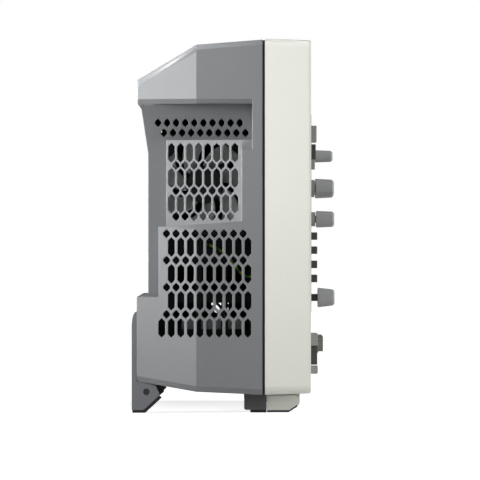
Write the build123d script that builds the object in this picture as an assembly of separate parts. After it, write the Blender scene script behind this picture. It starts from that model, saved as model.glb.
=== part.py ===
from build123d import *
import math
import os

# Bench function generator. Millimetres, +Z up, front face towards -Y, the width along X.
# The origin is the bottom centre of the whole instrument's box.
# "Depth" is measured backwards from the plane of the bezel's front face.
# "Inset" is measured from the flat side of the housing towards the middle.

# overall sizes
width = 352.0
top_height = 225.0
rear_reach = 107.9          # bezel face to the back of the rear feet
knob_reach = 18.4           # longest knob, in front of the bezel face
face_y = (knob_reach - rear_reach) / 2
half_width = width / 2

# general clearances
seat_gap = 0.3              # between neighbouring pieces that only lie near each other
running_gap = 0.05          # radial, on turning shafts
wall = 2.5                  # moulded walls

# bezel
bezel_depth = 27.6
bezel_bottom = 11.0
bezel_corner = 6.0
bezel_draft = 0.9           # how much smaller the front is, on each edge
bezel_face_wall = 3.0
gasket_depth = 1.5
gasket_inset = 0.8

# rear housing, as heights and depths of its creases
housing_front = bezel_depth + gasket_depth
housing_inset = 0.3
crease_depth = 68.8
case_back = 104.8
cap_back = 104.2
cap_bottom = 186.0
waist_back = 97.9
waist_top = 156.0
ledge_height = 69.9
roof_front = top_height - 0.5
roof_slope = 0.078          # fall for each unit of depth, up to the crease
roof_rear_slope = 0.5876    # and behind it
floor_front = bezel_bottom + 0.1
floor_slope = 0.045
floor_rear_slope = 0.17
rear_draft_angle = 20.0     # the sides turn in behind the crease
edge_bevel = 3.2

# side recesses, grip pocket and vents
column_inset = 18.0
grip_front = 35.2
grip_bottom = 164.3
grip_pitch_depth = 0.12     # the grip panel gets deeper towards the front
grip_pitch_height = 0.16    # and deeper towards the bottom
grip_meets_column = 86.8
upper_vent_front = 41.5
upper_vent_rear = 86.8
upper_vent_front_inset = 3.0
upper_vent_rear_inset = 16.0
lower_vent_rear = 91.5
lower_vent_top_rear = 112.2
lower_vent_top_front = 115.3
step_depth = 3.0
cap_edge = 2.8              # bevel along the cap's lower edge, over the side recess
step_bottom = 158.9
ledge_wall = 1.2            # the ledges over and under the upper vent

# honeycomb holes
cell_width = 4.0
cell_tall = 11.7
cell_short = 5.4
upper_pitch = 5.46
lower_pitch = 5.75
grip_cell_width = 3.7
grip_cell_tall = 5.2
grip_rows = [(91.9, 174.7), (88.4, 168.7)]      # rearmost hole's depth, row's height
grip_row_cells = 10
upper_long_rear = 83.8
upper_long_rows = [156.6, 141.4, 125.9]
upper_row_cells = 8
upper_short_drop = 7.6      # each row of short holes under its row of long ones
lower_short_rear = 86.7
lower_short_rows = [107.9, 91.9, 75.7, 59.4]
lower_long_rear = 83.8
lower_long_rows = [99.9, 83.8, 67.6]
lower_row_cells = 9
lower_last_rear = 89.6
lower_last_row = 51.3       # one more hole than the rows above it

# edges of the parted vent panels
grip_panel_rear = 94.6
panel_edge = 0.4
lower_panel_front = housing_front + 5.7
lower_panel_bottom = 44.5
lower_panel_foot = 58.2     # the lower rear corner reaches further back up to here
lower_panel_foot_reach = 3.6

# cross-head screws
screw_shank = 1.5
screw_hole = 1.6
screw_head = 3.0
screw_head_high = 1.8
case_screw_columns = [-124.0, -46.0, 46.0, 124.0]
case_screw_heights = [84.0, 148.0]
case_screw_sink = 2.2       # seats lie this far in front of the case's back
case_screw_boss = 4.6

# front panel
fascia_left = 50.0
fascia_right = 169.0
fascia_bottom = 58.0
fascia_top = 184.0
fascia_raise = 2.5
fascia_wall = 3.0
display_left = -163.0
display_right = 38.0
display_bottom = 74.0
display_top = 206.0
display_lens = 2.0
lens_sink = 0.4
display_module = 9.0
key_board_depth = 12.0
board_thick = 1.6
main_board_depth = 29.6

# knobs: name, across, height, diameter at the base, diameter at the tip, skirt start, reach
# the fascia has a round collar under each but the main one, a little smaller than the knob
knob_sizes = [
    ("level_knob", 142.0, 158.0, 7.8, 6.6, 5.6, 17.0),
    ("left_adjust_knob", 92.0, 137.2, 10.4, 9.2, 5.6, 17.2),
    ("right_adjust_knob", 138.0, 137.2, 12.5, 11.0, 5.6, 17.6),
    ("offset_knob", 76.0, 117.3, 10.4, 9.2, 5.6, 17.2),
    ("main_knob", 152.0, 67.0, 12.5, 10.0, 7.4, knob_reach),
]
collar_inset = 0.7          # collar edge inside the knob's edge
collar_gap = 0.4            # between collar and knob
shaft_radius = 2.35
shaft_grip = 7.5            # how far the shaft goes into the knob
bush_radius = 3.4

# keys
key_gap = 0.35
key_travel = 1.2
key_height = 4.8
key_width = 11.0
key_reach = 6.7
key_flange = 1.2
key_lip = 0.6               # flange edge beyond the cap
switch_height = 3.2
switch_wide = 4.4
number_rows = [106.6, 97.6, 88.5, 79.5]
number_columns = [100.0, 115.0, 130.0]
function_keys = [
    ("channel_one_key", 66.0, 171.3, 14.0, 10.4, 5.9),
    ("channel_two_key", 88.0, 171.3, 14.0, 10.4, 5.9),
    ("wave_key", 66.0, 159.9, 12.0, 9.6, 5.4),
    ("menu_key", 110.0, 153.0, 12.0, 7.6, 5.3),
]

# power button and its guards
power_x = -158.0
power_height = 34.6
power_width = 11.0
power_tall = 11.1
power_reach = 3.9
power_travel = 2.0
guard_reach = 4.2
guard_upper_tall = 7.4
guard_lower_tall = 4.8

# output sockets on the front, and sockets in the rear bay
socket_height = 38.3
socket_columns = [70.0, 98.0, 126.0, 154.0]
socket_barrel = 4.85
socket_bore = 4.05
socket_reach = 10.0
socket_lug = 1.0
socket_lug_reach = 1.0      # lugs stand out of the barrel by this much
socket_lug_back = 3.9       # behind the socket's tip, as are the next two
socket_core_back = 3.0
socket_floor_back = 8.5
socket_core = 1.9
socket_contact = 0.6
socket_contact_deep = 2.5
socket_flange = 2.6         # flange edge beyond the barrel
socket_flange_thick = 1.6
socket_body = 14.0          # square body behind the bezel
socket_body_deep = 9.0
rear_socket_columns = [-84.0, -62.0, -40.0]
rear_socket_height = 45.0
rear_socket_reach = 10.5    # in front of the connector plate
rear_socket_tail = 8.0      # and behind it
rear_socket_shoulder = 6.6
nut_across = 13.0
nut_thick = 2.2
network_x = -14.0
network_width = 16.0
network_low = 36.0
network_high = 50.0
serial_x = 8.0
serial_width = 14.4
serial_low = 35.5
serial_high = 51.5
port_reach = 3.0            # in front of the connector plate
port_deep = 14.0            # and behind it
inlet_x = 62.0
inlet_height = 45.0
inlet_deep = 20.0
inlet_wall = 3.0
inlet_width = 30.0
inlet_tall = 24.0
inlet_flange_width = 50.0
inlet_flange_tall = 28.0
inlet_flange = 2.6
inlet_screw_reach = 20.0

# rear bay for the connectors
bay_half_width = 104.0
bay_bottom = 25.0
bay_top = 66.0
bay_floor = 91.0
connector_plate = 1.6

# feet
bracket_inset = 16.0
bracket_width = 26.0
cheek = 4.0
sole = 1.6
bracket_top = 61.1
bracket_round = 8.0         # height of the rounded top
sole_front = 100.5          # where the flat sole ends
toe_depth = 91.6            # the toe's lower corner
toe_height = 10.0
heel_height = 16.6          # top of the rubber block
screw_depth = 98.9
screw_height = 12.7
screw_radius = 2.0
screw_socket = 1.0
front_foot_x = 140.0
foot_width = 24.0
foot_base_front = 26.6
foot_base_rear = 40.1
leg_axis_depth = 9.8
leg_axis_height = 6.5
pin_radius = 1.25
lug_radius = 3.3
lug_width = 8.0
leg_sole = 1.2
leg_lift = 0.2
leg_flat_front = 12.9       # the flat under the leg starts here
leg_toe_depth = 8.2
leg_toe_height = 4.6
leg_rear = 26.4
foot_pad_short = 3.7        # pad ends in front of its base

# fan behind the left upper vent
fan_inset = 30.0
fan_size = 60.0
fan_thick = 15.0
fan_depth = 63.6
fan_height = 137.5
fan_bore = 28.0
fan_hub = 11.5
fan_axle = 1.5
fan_blades = 7

wire_radius = 0.75

# inside
tray_height = 21.0
tray_thick = 1.5
tray_front = 34.0
tray_rear = 88.0
tray_wall_reach = 5.0       # the walls reach further back than the floor
tray_right_inset = 30.0
right_wall_top = 178.0
tray_vent = 12.0            # holes in the tray's left wall, 4 mm taller than wide
tray_vent_depths = [44.0, 60.0, 76.0]
tray_vent_heights = [36.0, 58.0, 80.0]
sink_left = -112.0
sink_right = -52.0
sink_front = 40.0
sink_rear = 78.0
sink_base = 5.0
sink_tall = 34.0            # up to the fins' tips
fin_thick = 2.0
fin_count = 9
supply_left = 34.0
supply_right = 128.0
supply_front = 42.0
supply_rear = 66.0
supply_lift = 3.0
tray_post_depths = [40.0, 82.0]
encoder_half = 5.5
encoder_front = 2.2
encoder_rear = 8.2


def depth_to_y(depth):
    return face_y + depth


def block(x_low, x_high, depth_low, depth_high, low, high):
    """A box between two places across, two depths and two heights."""
    centre = (
        (x_low + x_high) / 2,
        depth_to_y((depth_low + depth_high) / 2),
        (low + high) / 2,
    )
    return Pos(*centre) * Box(x_high - x_low, depth_high - depth_low, high - low)


def side_sketch(points):
    """An outline in the side view, from (depth, height) points."""
    placed = [(depth_to_y(depth), height) for depth, height in points]
    return Polygon(*placed, align=None)


def side_solid(sketch, x_low, x_high):
    """Extrudes a side-view outline from x_low to x_high."""
    return extrude(Plane.YZ.offset(x_low) * sketch, amount=x_high - x_low, dir=(1, 0, 0))


def front_solid(sketch, depth_low, depth_high):
    """Extrudes a front-view outline backwards between two depths."""
    plane = Plane((0, depth_to_y(depth_low), 0), x_dir=(1, 0, 0), z_dir=(0, -1, 0))
    return extrude(plane * sketch, amount=depth_high - depth_low, dir=(0, 1, 0))


def plan_solid(sketch, low, high):
    """Extrudes a plan-view outline, in (x, y), between two heights."""
    return extrude(Plane.XY.offset(low) * sketch, amount=high - low, dir=(0, 0, 1))


def rod_back(x, height, radius, depth_low, depth_high):
    """A round bar that runs front to back."""
    middle = depth_to_y((depth_low + depth_high) / 2)
    return Pos(x, middle, height) * Rot(90, 0, 0) * Cylinder(radius, depth_high - depth_low)


def rod_across(depth, height, radius, x_low, x_high):
    """A round bar that runs across the instrument."""
    middle = (x_low + x_high) / 2
    return Pos(middle, depth_to_y(depth), height) * Rot(0, 90, 0) * Cylinder(radius, x_high - x_low)


def join(pieces):
    """All the pieces as one shape."""
    first, *others = pieces
    return first + others if others else first


def other_side(shape):
    return mirror(shape, about=Plane.YZ)


def save(shape, name):
    export_step(shape, f"parts/{name}.step")


# ---------------------------------------------------------------- bezel and gasket

def bezel_outline(margin):
    """The bezel's front-view outline, smaller by margin on every edge."""
    tall = top_height - bezel_bottom
    middle = (top_height + bezel_bottom) / 2
    corner = max(bezel_corner - margin, 0.5)
    return Pos(0, middle) * RectangleRounded(width - 2 * margin, tall - 2 * margin, corner)


def bezel_form(margin, depth_low, depth_high):
    """A drafted block with the bezel's outline, narrower towards the front."""
    slope = bezel_draft / bezel_depth
    near = bezel_outline(margin + slope * (bezel_depth - depth_low))
    far = bezel_outline(margin + slope * (bezel_depth - depth_high))
    near_plane = Plane((0, depth_to_y(depth_low), 0), x_dir=(1, 0, 0), z_dir=(0, -1, 0))
    far_plane = Plane((0, depth_to_y(depth_high), 0), x_dir=(1, 0, 0), z_dir=(0, -1, 0))
    return loft([near_plane * near, far_plane * far])


def post_places():
    """Where the posts for the main board stand, as (x, height)."""
    side = half_width - 14.0
    return [(x, z) for x in (-side, 44.0, side) for z in (22.0, top_height - 12.0)]


def hinge_lug(side):
    """The lug under the bezel that carries the front leg's pin."""
    x_low = side * front_foot_x - lug_width / 2
    knuckle = rod_across(leg_axis_depth, leg_axis_height, lug_radius, x_low, x_low + lug_width)
    root = block(
        x_low, x_low + lug_width,
        leg_axis_depth - lug_radius, leg_axis_depth + lug_radius,
        leg_axis_height, bezel_bottom + wall,
    )
    bore = rod_across(leg_axis_depth, leg_axis_height, pin_radius, x_low - 1, x_low + lug_width + 1)
    return knuckle + root - bore


def build_bezel():
    body = bezel_form(0, 0, bezel_depth)
    front_edges = body.edges().filter_by(
        lambda edge: abs(edge.center().Y - depth_to_y(0)) < 0.01
    )
    body = fillet(front_edges, 1.2)
    inside = bezel_form(wall, bezel_face_wall, bezel_depth + 1)
    window = block(
        display_left, display_right, -1, bezel_face_wall + 1, display_bottom, display_top
    )
    panel = block(
        fascia_left, fascia_right, -1, bezel_face_wall + 1, fascia_bottom, fascia_top
    )
    body = body - inside - window - panel
    for x in socket_columns:
        body -= rod_back(x, socket_height, socket_barrel + 1.4, -1, bezel_face_wall + 1)
    for x, z in post_places():
        post = rod_back(x, z, 3.5, bezel_face_wall - 0.5, main_board_depth)
        body += post
    power_low = power_height - power_tall / 2
    power_high = power_height + power_tall / 2
    body -= block(
        power_x - power_width / 2 - key_gap, power_x + power_width / 2 + key_gap,
        -1, bezel_face_wall + 1, power_low - key_gap, power_high + key_gap,
    )
    for side in (-1, 1):
        body += hinge_lug(side)
    return body


def build_gasket():
    inset = gasket_inset
    outside = front_solid(bezel_outline(inset), bezel_depth, housing_front)
    return outside - front_solid(bezel_outline(wall), bezel_depth - 1, housing_front + 1)


# ---------------------------------------------------------------- rear housing

def roof_crease():
    return roof_front - roof_slope * (crease_depth - housing_front)


def floor_crease():
    return floor_front + floor_slope * (crease_depth - housing_front)


def housing_side(front):
    """Side-view outline of the housing, starting at the given depth."""
    return side_sketch([
        (front, roof_front + roof_slope * (housing_front - front)),
        (crease_depth, roof_crease()),
        (cap_back, roof_crease() - roof_rear_slope * (cap_back - crease_depth)),
        (cap_back, cap_bottom),
        (cap_back - 2.3, cap_bottom - 3.2),
        (waist_back, waist_top),
        (waist_back, ledge_height),
        (case_back, ledge_height),
        (case_back, floor_crease() + floor_rear_slope * (case_back - crease_depth)),
        (crease_depth, floor_crease()),
        (front, floor_front - floor_slope * (housing_front - front)),
    ])


def housing_plan(front):
    """Plan-view outline: flat sides, then turned in behind the crease."""
    side = half_width - housing_inset
    turn = math.tan(math.radians(rear_draft_angle)) * (rear_reach - crease_depth)
    points = [
        (-side, front), (side, front), (side, crease_depth), (side - turn, rear_reach),
        (turn - side, rear_reach), (-side, crease_depth),
    ]
    return Polygon(*[(x, depth_to_y(depth)) for x, depth in points], align=None)


def housing_form(shrink, front):
    """The housing's closed outer form, or the same form with its walls moved in."""
    from_side = housing_side(front)
    from_above = housing_plan(front)
    if shrink:
        from_side = offset(from_side, amount=-shrink, kind=Kind.INTERSECTION)
        from_above = offset(from_above, amount=-shrink, kind=Kind.INTERSECTION)
    across = side_solid(from_side, -half_width, half_width)
    upright = plan_solid(from_above, 0, top_height + 5)
    return across & upright


def grip_plane(deeper):
    """The plane of the grip panel on the left, moved in by deeper."""
    origin = Vector(
        column_inset - half_width, depth_to_y(grip_meets_column), grip_bottom
    )
    outward = Vector(-1, -grip_pitch_depth, -grip_pitch_height).normalized()
    return Plane(origin - outward * deeper, z_dir=outward)


def outside_grip_plane(deeper):
    reach = 4 * top_height
    return grip_plane(deeper) * Box(reach, reach, reach, align=(Align.CENTER, Align.CENTER, Align.MIN))


def upper_vent_region(grow):
    """The space outside the tilted upper vent, out past the housing's side."""
    far = -half_width - 20
    plan = [
        (far, upper_vent_front),
        (upper_vent_front_inset - half_width, upper_vent_front),
        (upper_vent_rear_inset - half_width, upper_vent_rear),
        (far, upper_vent_rear),
    ]
    outline = [
        (upper_vent_front, lower_vent_top_front),
        (upper_vent_rear, lower_vent_top_rear),
        (upper_vent_rear, grip_bottom + 1),
        (upper_vent_front, grip_bottom + 1),
    ]
    from_above = Polygon(*[(x, depth_to_y(d)) for x, d in plan], align=None)
    from_side = side_sketch(outline)
    if grow:
        from_above = offset(from_above, amount=grow, kind=Kind.INTERSECTION)
        from_side = offset(from_side, amount=grow, kind=Kind.INTERSECTION)
        from_side = Pos(0, grow - ledge_wall) * from_side
    return plan_solid(from_above, 0, top_height) & side_solid(from_side, far - 5, 0)


def side_recess(grow):
    """Everything that is hollowed out of the left side, grown by a wall if asked."""
    far = -half_width - 20
    inner = column_inset - half_width + grow
    back = rear_reach + 5
    lower_column = block(
        far, inner, lower_vent_rear - grow, back, ledge_height - grow, cap_bottom + grow
    )
    upper_column = block(
        far, inner, upper_vent_rear - grow, back,
        lower_vent_top_rear - min(grow, ledge_wall), cap_bottom + grow,
    )
    grip = block(
        far, 60 - half_width, grip_front - grow, back,
        grip_bottom - min(grow, ledge_wall), cap_bottom + grow,
    )
    deep = (lower_column + upper_column + grip) & outside_grip_plane(grow)
    if not grow:
        deep += cap_edge_cut()
    step = block(
        far, step_depth - half_width + grow,
        grip_front - grow, upper_vent_front + 1, step_bottom - grow, grip_bottom + 1,
    )
    return deep + upper_vent_region(grow) + step


def cap_edge_cut():
    """Bevel on the cap's lower edge, along the side and the turned-in rear side."""
    side = half_width - housing_inset
    turn = math.radians(rear_draft_angle)
    directions = [
        (Vector(-1, 0, 0), grip_front, crease_depth),
        (Vector(-math.cos(turn), math.sin(turn), 0), crease_depth, rear_reach + 5),
    ]
    cuts = []
    big = 4 * top_height
    for beside, depth_low, depth_high in directions:
        outward = (beside + Vector(0, 0, -1)).normalized()
        corner = Vector(-side, depth_to_y(crease_depth), cap_bottom)
        plane = Plane(corner - outward * (cap_edge / math.sqrt(2)), z_dir=outward)
        wedge = plane * Box(big, big, big, align=(Align.CENTER, Align.CENTER, Align.MIN))
        reach = block(
            -half_width - 20, 30 - half_width, depth_low, depth_high,
            cap_bottom - 1, cap_bottom + 2 * cap_edge,
        )
        cuts.append(wedge & reach)
    return join(cuts)


def rear_bay(grow):
    """The pocket in the back that the connectors lie in."""
    return block(
        -bay_half_width - grow, bay_half_width + grow,
        bay_floor - grow, rear_reach + 5, bay_bottom - grow, bay_top + grow,
    )


def bay_window():
    """The opening in the bay's floor, covered from inside by the connector plate."""
    edge = 5.0
    return block(
        -bay_half_width + edge, bay_half_width - edge,
        bay_floor - wall - 1, bay_floor + 1, bay_bottom + edge, bay_top - edge,
    )


def bevel_edges(form):
    """Bevels the long edges where the sides meet the top and the bottom."""
    side = half_width - housing_inset
    turn = math.radians(rear_draft_angle)
    flat_side = Vector(-1, 0, 0)
    turned_side = Vector(-math.cos(turn), math.sin(turn), 0)
    pairs = [
        (flat_side, Vector(0, roof_slope, 1), roof_crease()),
        (turned_side, Vector(0, roof_rear_slope, 1), roof_crease()),
        (flat_side, Vector(0, floor_slope, -1), floor_crease()),
        (turned_side, Vector(0, floor_rear_slope, -1), floor_crease()),
    ]
    big = 3 * top_height
    for beside, level, height in pairs:
        outward = (beside + level.normalized()).normalized()
        corner = Vector(-side, depth_to_y(crease_depth), height)
        plane = Plane(corner - outward * (edge_bevel / math.sqrt(2)), z_dir=outward)
        waste = plane * Box(big, big, big, align=(Align.CENTER, Align.CENTER, Align.MIN))
        form = form - waste - other_side(waste)
    return form


def hollow_housing():
    """The whole rear moulding, before its vent panels are parted from it."""
    outer = bevel_edges(housing_form(0, housing_front))
    inner = housing_form(wall, housing_front - 3 * wall)
    left = side_recess(0)
    left_wall = side_recess(wall)
    outer = outer - left - other_side(left) - rear_bay(0)
    inner = inner - left_wall - other_side(left_wall) - rear_bay(wall)
    shell = outer - inner - bay_window() + tray_posts()
    for x, z, seat in case_screw_places():
        shell += rod_back(x, z, case_screw_boss, seat - 2.2, waist_back - 0.5)
        shell -= rod_back(x, z, screw_head + 0.2, seat, waist_back + 1)
        shell -= rod_back(x, z, screw_hole, seat - 2 * wall, seat + 1)
    return shell


def grip_panel_region():
    return block(
        -half_width - 5, 40 - half_width,
        grip_front + 1.2, grip_panel_rear, grip_bottom + 1.0, cap_bottom - 1.5,
    )


def upper_panel_region():
    edge = panel_edge
    outline = side_sketch([
        (upper_vent_front + edge, lower_vent_top_front + edge),
        (upper_vent_rear - edge, lower_vent_top_rear + edge),
        (upper_vent_rear - edge, grip_bottom - ledge_wall - edge),
        (upper_vent_front + edge, grip_bottom - ledge_wall - edge),
    ])
    return side_solid(outline, -half_width - 5, 24 - half_width)


def lower_panel_region():
    front = lower_panel_front
    bottom = lower_panel_bottom
    rear = lower_vent_rear - wall - 0.15
    top = lower_vent_top_rear - ledge_wall - 0.1
    foot_rear = rear + lower_panel_foot_reach
    outline = side_sketch([
        (front, bottom), (foot_rear, bottom), (foot_rear, lower_panel_foot),
        (rear, lower_panel_foot), (rear, top), (front, top),
    ])
    return side_solid(outline, -half_width - 5, 14 - half_width)


def cell(depth, height, across, tall):
    """One long six-sided hole with pointed ends, in the side view."""
    half = across / 2
    straight = tall / 2 - half
    return side_sketch([
        (depth, height + tall / 2), (depth + half, height + straight),
        (depth + half, height - straight), (depth, height - tall / 2),
        (depth - half, height - straight), (depth - half, height + straight),
    ])


def cell_row(first_depth, pitch, count, height, across, tall):
    return [cell(first_depth - i * pitch, height, across, tall) for i in range(count)]


def grip_cells():
    cells = []
    for rear, height in grip_rows:
        cells += cell_row(rear, upper_pitch, grip_row_cells, height, grip_cell_width, grip_cell_tall)
    return cells


def upper_cells():
    cells = []
    between = upper_long_rear - upper_pitch / 2
    for height in upper_long_rows:
        cells += cell_row(upper_long_rear, upper_pitch, upper_row_cells, height, cell_width, cell_tall)
        low = height - upper_short_drop
        cells += cell_row(between, upper_pitch, upper_row_cells - 1, low, cell_width, cell_short)
    return cells


def lower_cells():
    cells = []
    count = lower_row_cells
    for height in lower_short_rows:
        cells += cell_row(lower_short_rear, lower_pitch, count, height, cell_width, cell_short)
    for height in lower_long_rows:
        cells += cell_row(lower_long_rear, lower_pitch, count, height, cell_width, cell_tall)
    return cells + cell_row(
        lower_last_rear, lower_pitch, count + 1, lower_last_row, cell_width, cell_tall
    )


def perforate(panel, cells):
    """Cuts a set of cells straight through a side panel."""
    cutters = [side_solid(shape, -half_width - 5, 45 - half_width) for shape in cells]
    return panel - cutters


# ---------------------------------------------------------------- front panel pieces

def keyhole(x, z, wide, tall, depth_low, depth_high):
    return block(
        x - wide / 2 - key_gap, x + wide / 2 + key_gap, depth_low, depth_high,
        z - tall / 2 - key_gap, z + tall / 2 + key_gap,
    )


def number_key_places():
    places = []
    for row, z in enumerate(number_rows):
        for column, x in enumerate(number_columns):
            places.append((row * len(number_columns) + column + 1, x, z))
    return places


def build_fascia():
    """Raised grey panel that the keys and knobs come through."""
    gap = 0.2
    plate = block(
        fascia_left + gap, fascia_right - gap, -fascia_raise, bezel_face_wall - 0.2,
        fascia_bottom + gap, fascia_top - gap,
    )
    upright = plate.edges().filter_by(Axis.Y)
    plate = fillet(upright, 2.0)
    front = plate.edges().filter_by(
        lambda edge: abs(edge.center().Y - depth_to_y(-fascia_raise)) < 0.01
    )
    plate = chamfer(front, 0.6)
    flange = block(
        fascia_left - 2.5, fascia_right + 2.0, bezel_face_wall, bezel_face_wall + 1.2,
        fascia_bottom - 3.5, fascia_top + 3.5,
    )
    hollow = block(
        fascia_left + wall, fascia_right - wall, fascia_wall - fascia_raise,
        bezel_face_wall + 2, fascia_bottom + wall, fascia_top - wall,
    )
    bridge = block(
        fascia_left + gap + 0.5, fascia_right - gap - 0.5, bezel_face_wall - 1.0,
        bezel_face_wall + 0.6, fascia_bottom + gap + 0.5, fascia_top - gap - 0.5,
    )
    body = plate + flange + bridge - hollow
    for name, x, z, wide, tall, reach in function_keys:
        body -= keyhole(x, z, wide, tall, -fascia_raise - 1, bezel_face_wall + 1)
    for number, x, z in number_key_places():
        body -= keyhole(x, z, key_width, key_height, -fascia_raise - 1, bezel_face_wall + 1)
    for name, x, z, base, tip, skirt, reach in knob_sizes:
        if name != "main_knob":
            collar = max(base / 2 - collar_inset, bush_radius + 0.9)
            body += rod_back(x, z, collar, collar_gap - skirt, -fascia_raise)
        body -= rod_back(x, z, bush_radius + 0.2, -reach, bezel_face_wall + 2)
    return body


def build_key(x, z, wide, tall, reach):
    """A key cap with a retaining flange behind the fascia and a stem to its switch."""
    front = -reach
    back = fascia_wall - fascia_raise + key_gap
    cap = block(x - wide / 2, x + wide / 2, front, back + 0.5, z - tall / 2, z + tall / 2)
    cap = fillet(cap.edges().filter_by(Axis.Y), 0.6)
    rim = cap.edges().filter_by(
        lambda edge: abs(edge.center().Y - depth_to_y(front)) < 0.01
    )
    cap = fillet(rim, 0.4)
    flange = block(
        x - wide / 2 - key_lip, x + wide / 2 + key_lip, back, back + key_flange,
        z - tall / 2 - key_lip, z + tall / 2 + key_lip,
    )
    stem_end = key_board_depth - switch_height - key_travel - 0.2
    stem = rod_back(x, z, 1.4, back + key_flange - 0.3, stem_end)
    return cap + flange + stem


def build_key_board():
    """Board behind the fascia with one switch for each key."""
    board = block(
        fascia_left - 1, fascia_right + 1, key_board_depth, key_board_depth + board_thick,
        fascia_bottom - 2, fascia_top + 2,
    )
    for name, x, z, base, tip, skirt, reach in knob_sizes:
        board -= rod_back(x, z, bush_radius + 0.4, key_board_depth - 1, key_board_depth + 3)
    switches = []
    places = [(x, z) for number, x, z in number_key_places()]
    places += [(x, z) for name, x, z, wide, tall, reach in function_keys]
    half = switch_wide / 2
    top = key_board_depth - switch_height
    for x, z in places:
        switches.append(block(x - half, x + half, top, key_board_depth, z - half, z + half))
    posts = []
    for x in (fascia_left + 4, fascia_right - 4):
        for z in (fascia_bottom - 1.0, fascia_top + 1.0):
            posts.append(rod_back(x, z, 1.0, bezel_face_wall + 1.2, key_board_depth))
    return join([board] + switches + posts)


def encoder(x, z, skirt):
    """Rotary encoder: body behind the board's front, bush through the fascia, shaft."""
    half = encoder_half
    body = block(x - half, x + half, encoder_front, encoder_rear, z - half, z + half)
    bush = rod_back(x, z, bush_radius, -fascia_raise - 0.8, 3.0)
    shaft = rod_back(x, z, shaft_radius, -skirt - shaft_grip, 0)
    pins = rod_back(x, z, bush_radius, encoder_rear - 0.2, key_board_depth + board_thick)
    return body + bush + shaft + pins


def build_knob(x, z, base, tip, skirt, reach):
    """A tapered knob with a hollow skirt and a blind bore over the shaft."""
    length = reach - skirt
    back = (x, depth_to_y(-skirt), z)
    profile = Polygon(
        (0, 0), (base / 2 - 0.3, 0), (base / 2, -0.3), (tip / 2 + 0.15, 1.0 - length),
        (tip / 2 - 0.9, -length), (0, -length), align=None,
    )
    turned = revolve(Plane(back) * profile, axis=Axis(back, (0, -1, 0)))
    bore_end = -skirt - shaft_grip - 0.5
    return turned - rod_back(x, z, shaft_radius + running_gap, bore_end, 1 - skirt)


def build_power_button():
    low = power_height - power_tall / 2
    high = power_height + power_tall / 2
    cap = block(
        power_x - power_width / 2, power_x + power_width / 2, -power_reach, bezel_face_wall + 0.5,
        low, high,
    )
    cap = fillet(cap.edges().filter_by(Axis.Y), 0.8)
    flange = block(
        power_x - power_width / 2 - 1, power_x + power_width / 2 + 1,
        bezel_face_wall + key_gap, bezel_face_wall + key_gap + 1.4, low - 1, high + 1,
    )
    stem_start = bezel_face_wall + 1.2
    stem = rod_back(power_x, power_height, 2.0, stem_start, power_switch_front() - 0.3)
    return cap + flange + stem


def power_switch_front():
    return main_board_depth - 12.0


def build_power_guard():
    """Two arms, over and under the power button."""
    wide = power_width / 2 + 2.6
    near = power_tall / 2 + key_gap + 0.3
    upper_low = power_height + near
    lower_high = power_height - near
    upper = block(
        power_x - wide, power_x + wide, -guard_reach, 0, upper_low, upper_low + guard_upper_tall
    )
    lower = block(
        power_x - wide, power_x + wide, -guard_reach, 0, lower_high - guard_lower_tall, lower_high
    )
    far_edges = [
        upper.edges().filter_by(Axis.X).sort_by(lambda edge: edge.center().Z - edge.center().Y)[-1],
        lower.edges().filter_by(Axis.X).sort_by(lambda edge: -edge.center().Z - edge.center().Y)[-1],
    ]
    return Compound([fillet(far_edges[0], 1.6), fillet(far_edges[1], 0.8)])


def build_lens():
    gap = seat_gap
    glass = block(
        display_left + gap, display_right - gap, lens_sink, lens_sink + display_lens,
        display_bottom + gap, display_top - gap,
    )
    return fillet(glass.edges().filter_by(Axis.Y), 1.5)


def build_display():
    """Display module, held against the back of the bezel's face."""
    panel = block(
        display_left - 2, display_right + 2, bezel_face_wall, bezel_face_wall + display_module,
        display_bottom - 2, display_top + 2,
    )
    front = block(
        display_left + 4, display_right - 4, lens_sink + display_lens, bezel_face_wall + 0.5,
        display_bottom + 4, display_top - 4,
    )
    return panel + front


def coax_socket(x, z, front, back, facing):
    """A coax socket with a hollow barrel, two bayonet lugs, flange, insulator and pin."""
    tip = front
    barrel = rod_back(x, z, socket_barrel, min(tip, back), max(tip, back))
    lug_at = tip - facing * socket_lug_back
    lug_end = socket_barrel + socket_lug_reach
    lugs = rod_up(x, lug_at, z - lug_end, z + lug_end, socket_lug)
    bore_end = tip - facing * socket_floor_back
    bore = rod_back(x, z, socket_bore, min(bore_end, tip + facing), max(bore_end, tip + facing))
    core_tip = tip - facing * socket_core_back
    core = rod_back(x, z, socket_core, min(bore_end, core_tip), max(bore_end, core_tip))
    hole_end = core_tip - facing * socket_contact_deep
    mouth = core_tip + facing
    hole = rod_back(x, z, socket_contact, min(hole_end, mouth), max(hole_end, mouth))
    return barrel + lugs - bore + core - hole


def rod_up(x, depth, low, high, radius):
    """A round bar that stands upright."""
    return Pos(x, depth_to_y(depth), (low + high) / 2) * Cylinder(radius, high - low)


def hex_nut(x, z, across, depth_low, depth_high):
    points = [
        (
            x + across / math.sqrt(3) * math.cos(math.radians(60 * i)),
            z + across / math.sqrt(3) * math.sin(math.radians(60 * i)),
        )
        for i in range(6)
    ]
    return front_solid(Polygon(*points, align=None), depth_low, depth_high)


def front_socket(x):
    """Output socket: barrel through the bezel's hole, with a flange in front of it."""
    socket = coax_socket(x, socket_height, -socket_reach, main_board_depth, -1)
    flange = rod_back(x, socket_height, socket_barrel + socket_flange, -socket_flange_thick, 0)
    half = socket_body / 2
    body = block(
        x - half, x + half, bezel_face_wall, bezel_face_wall + socket_body_deep,
        socket_height - half, socket_height + half,
    )
    mouth = rod_back(
        x, socket_height, socket_bore, -socket_reach - 1, socket_core_back - 0.1 - socket_reach
    )
    return socket + flange + body - mouth


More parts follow.
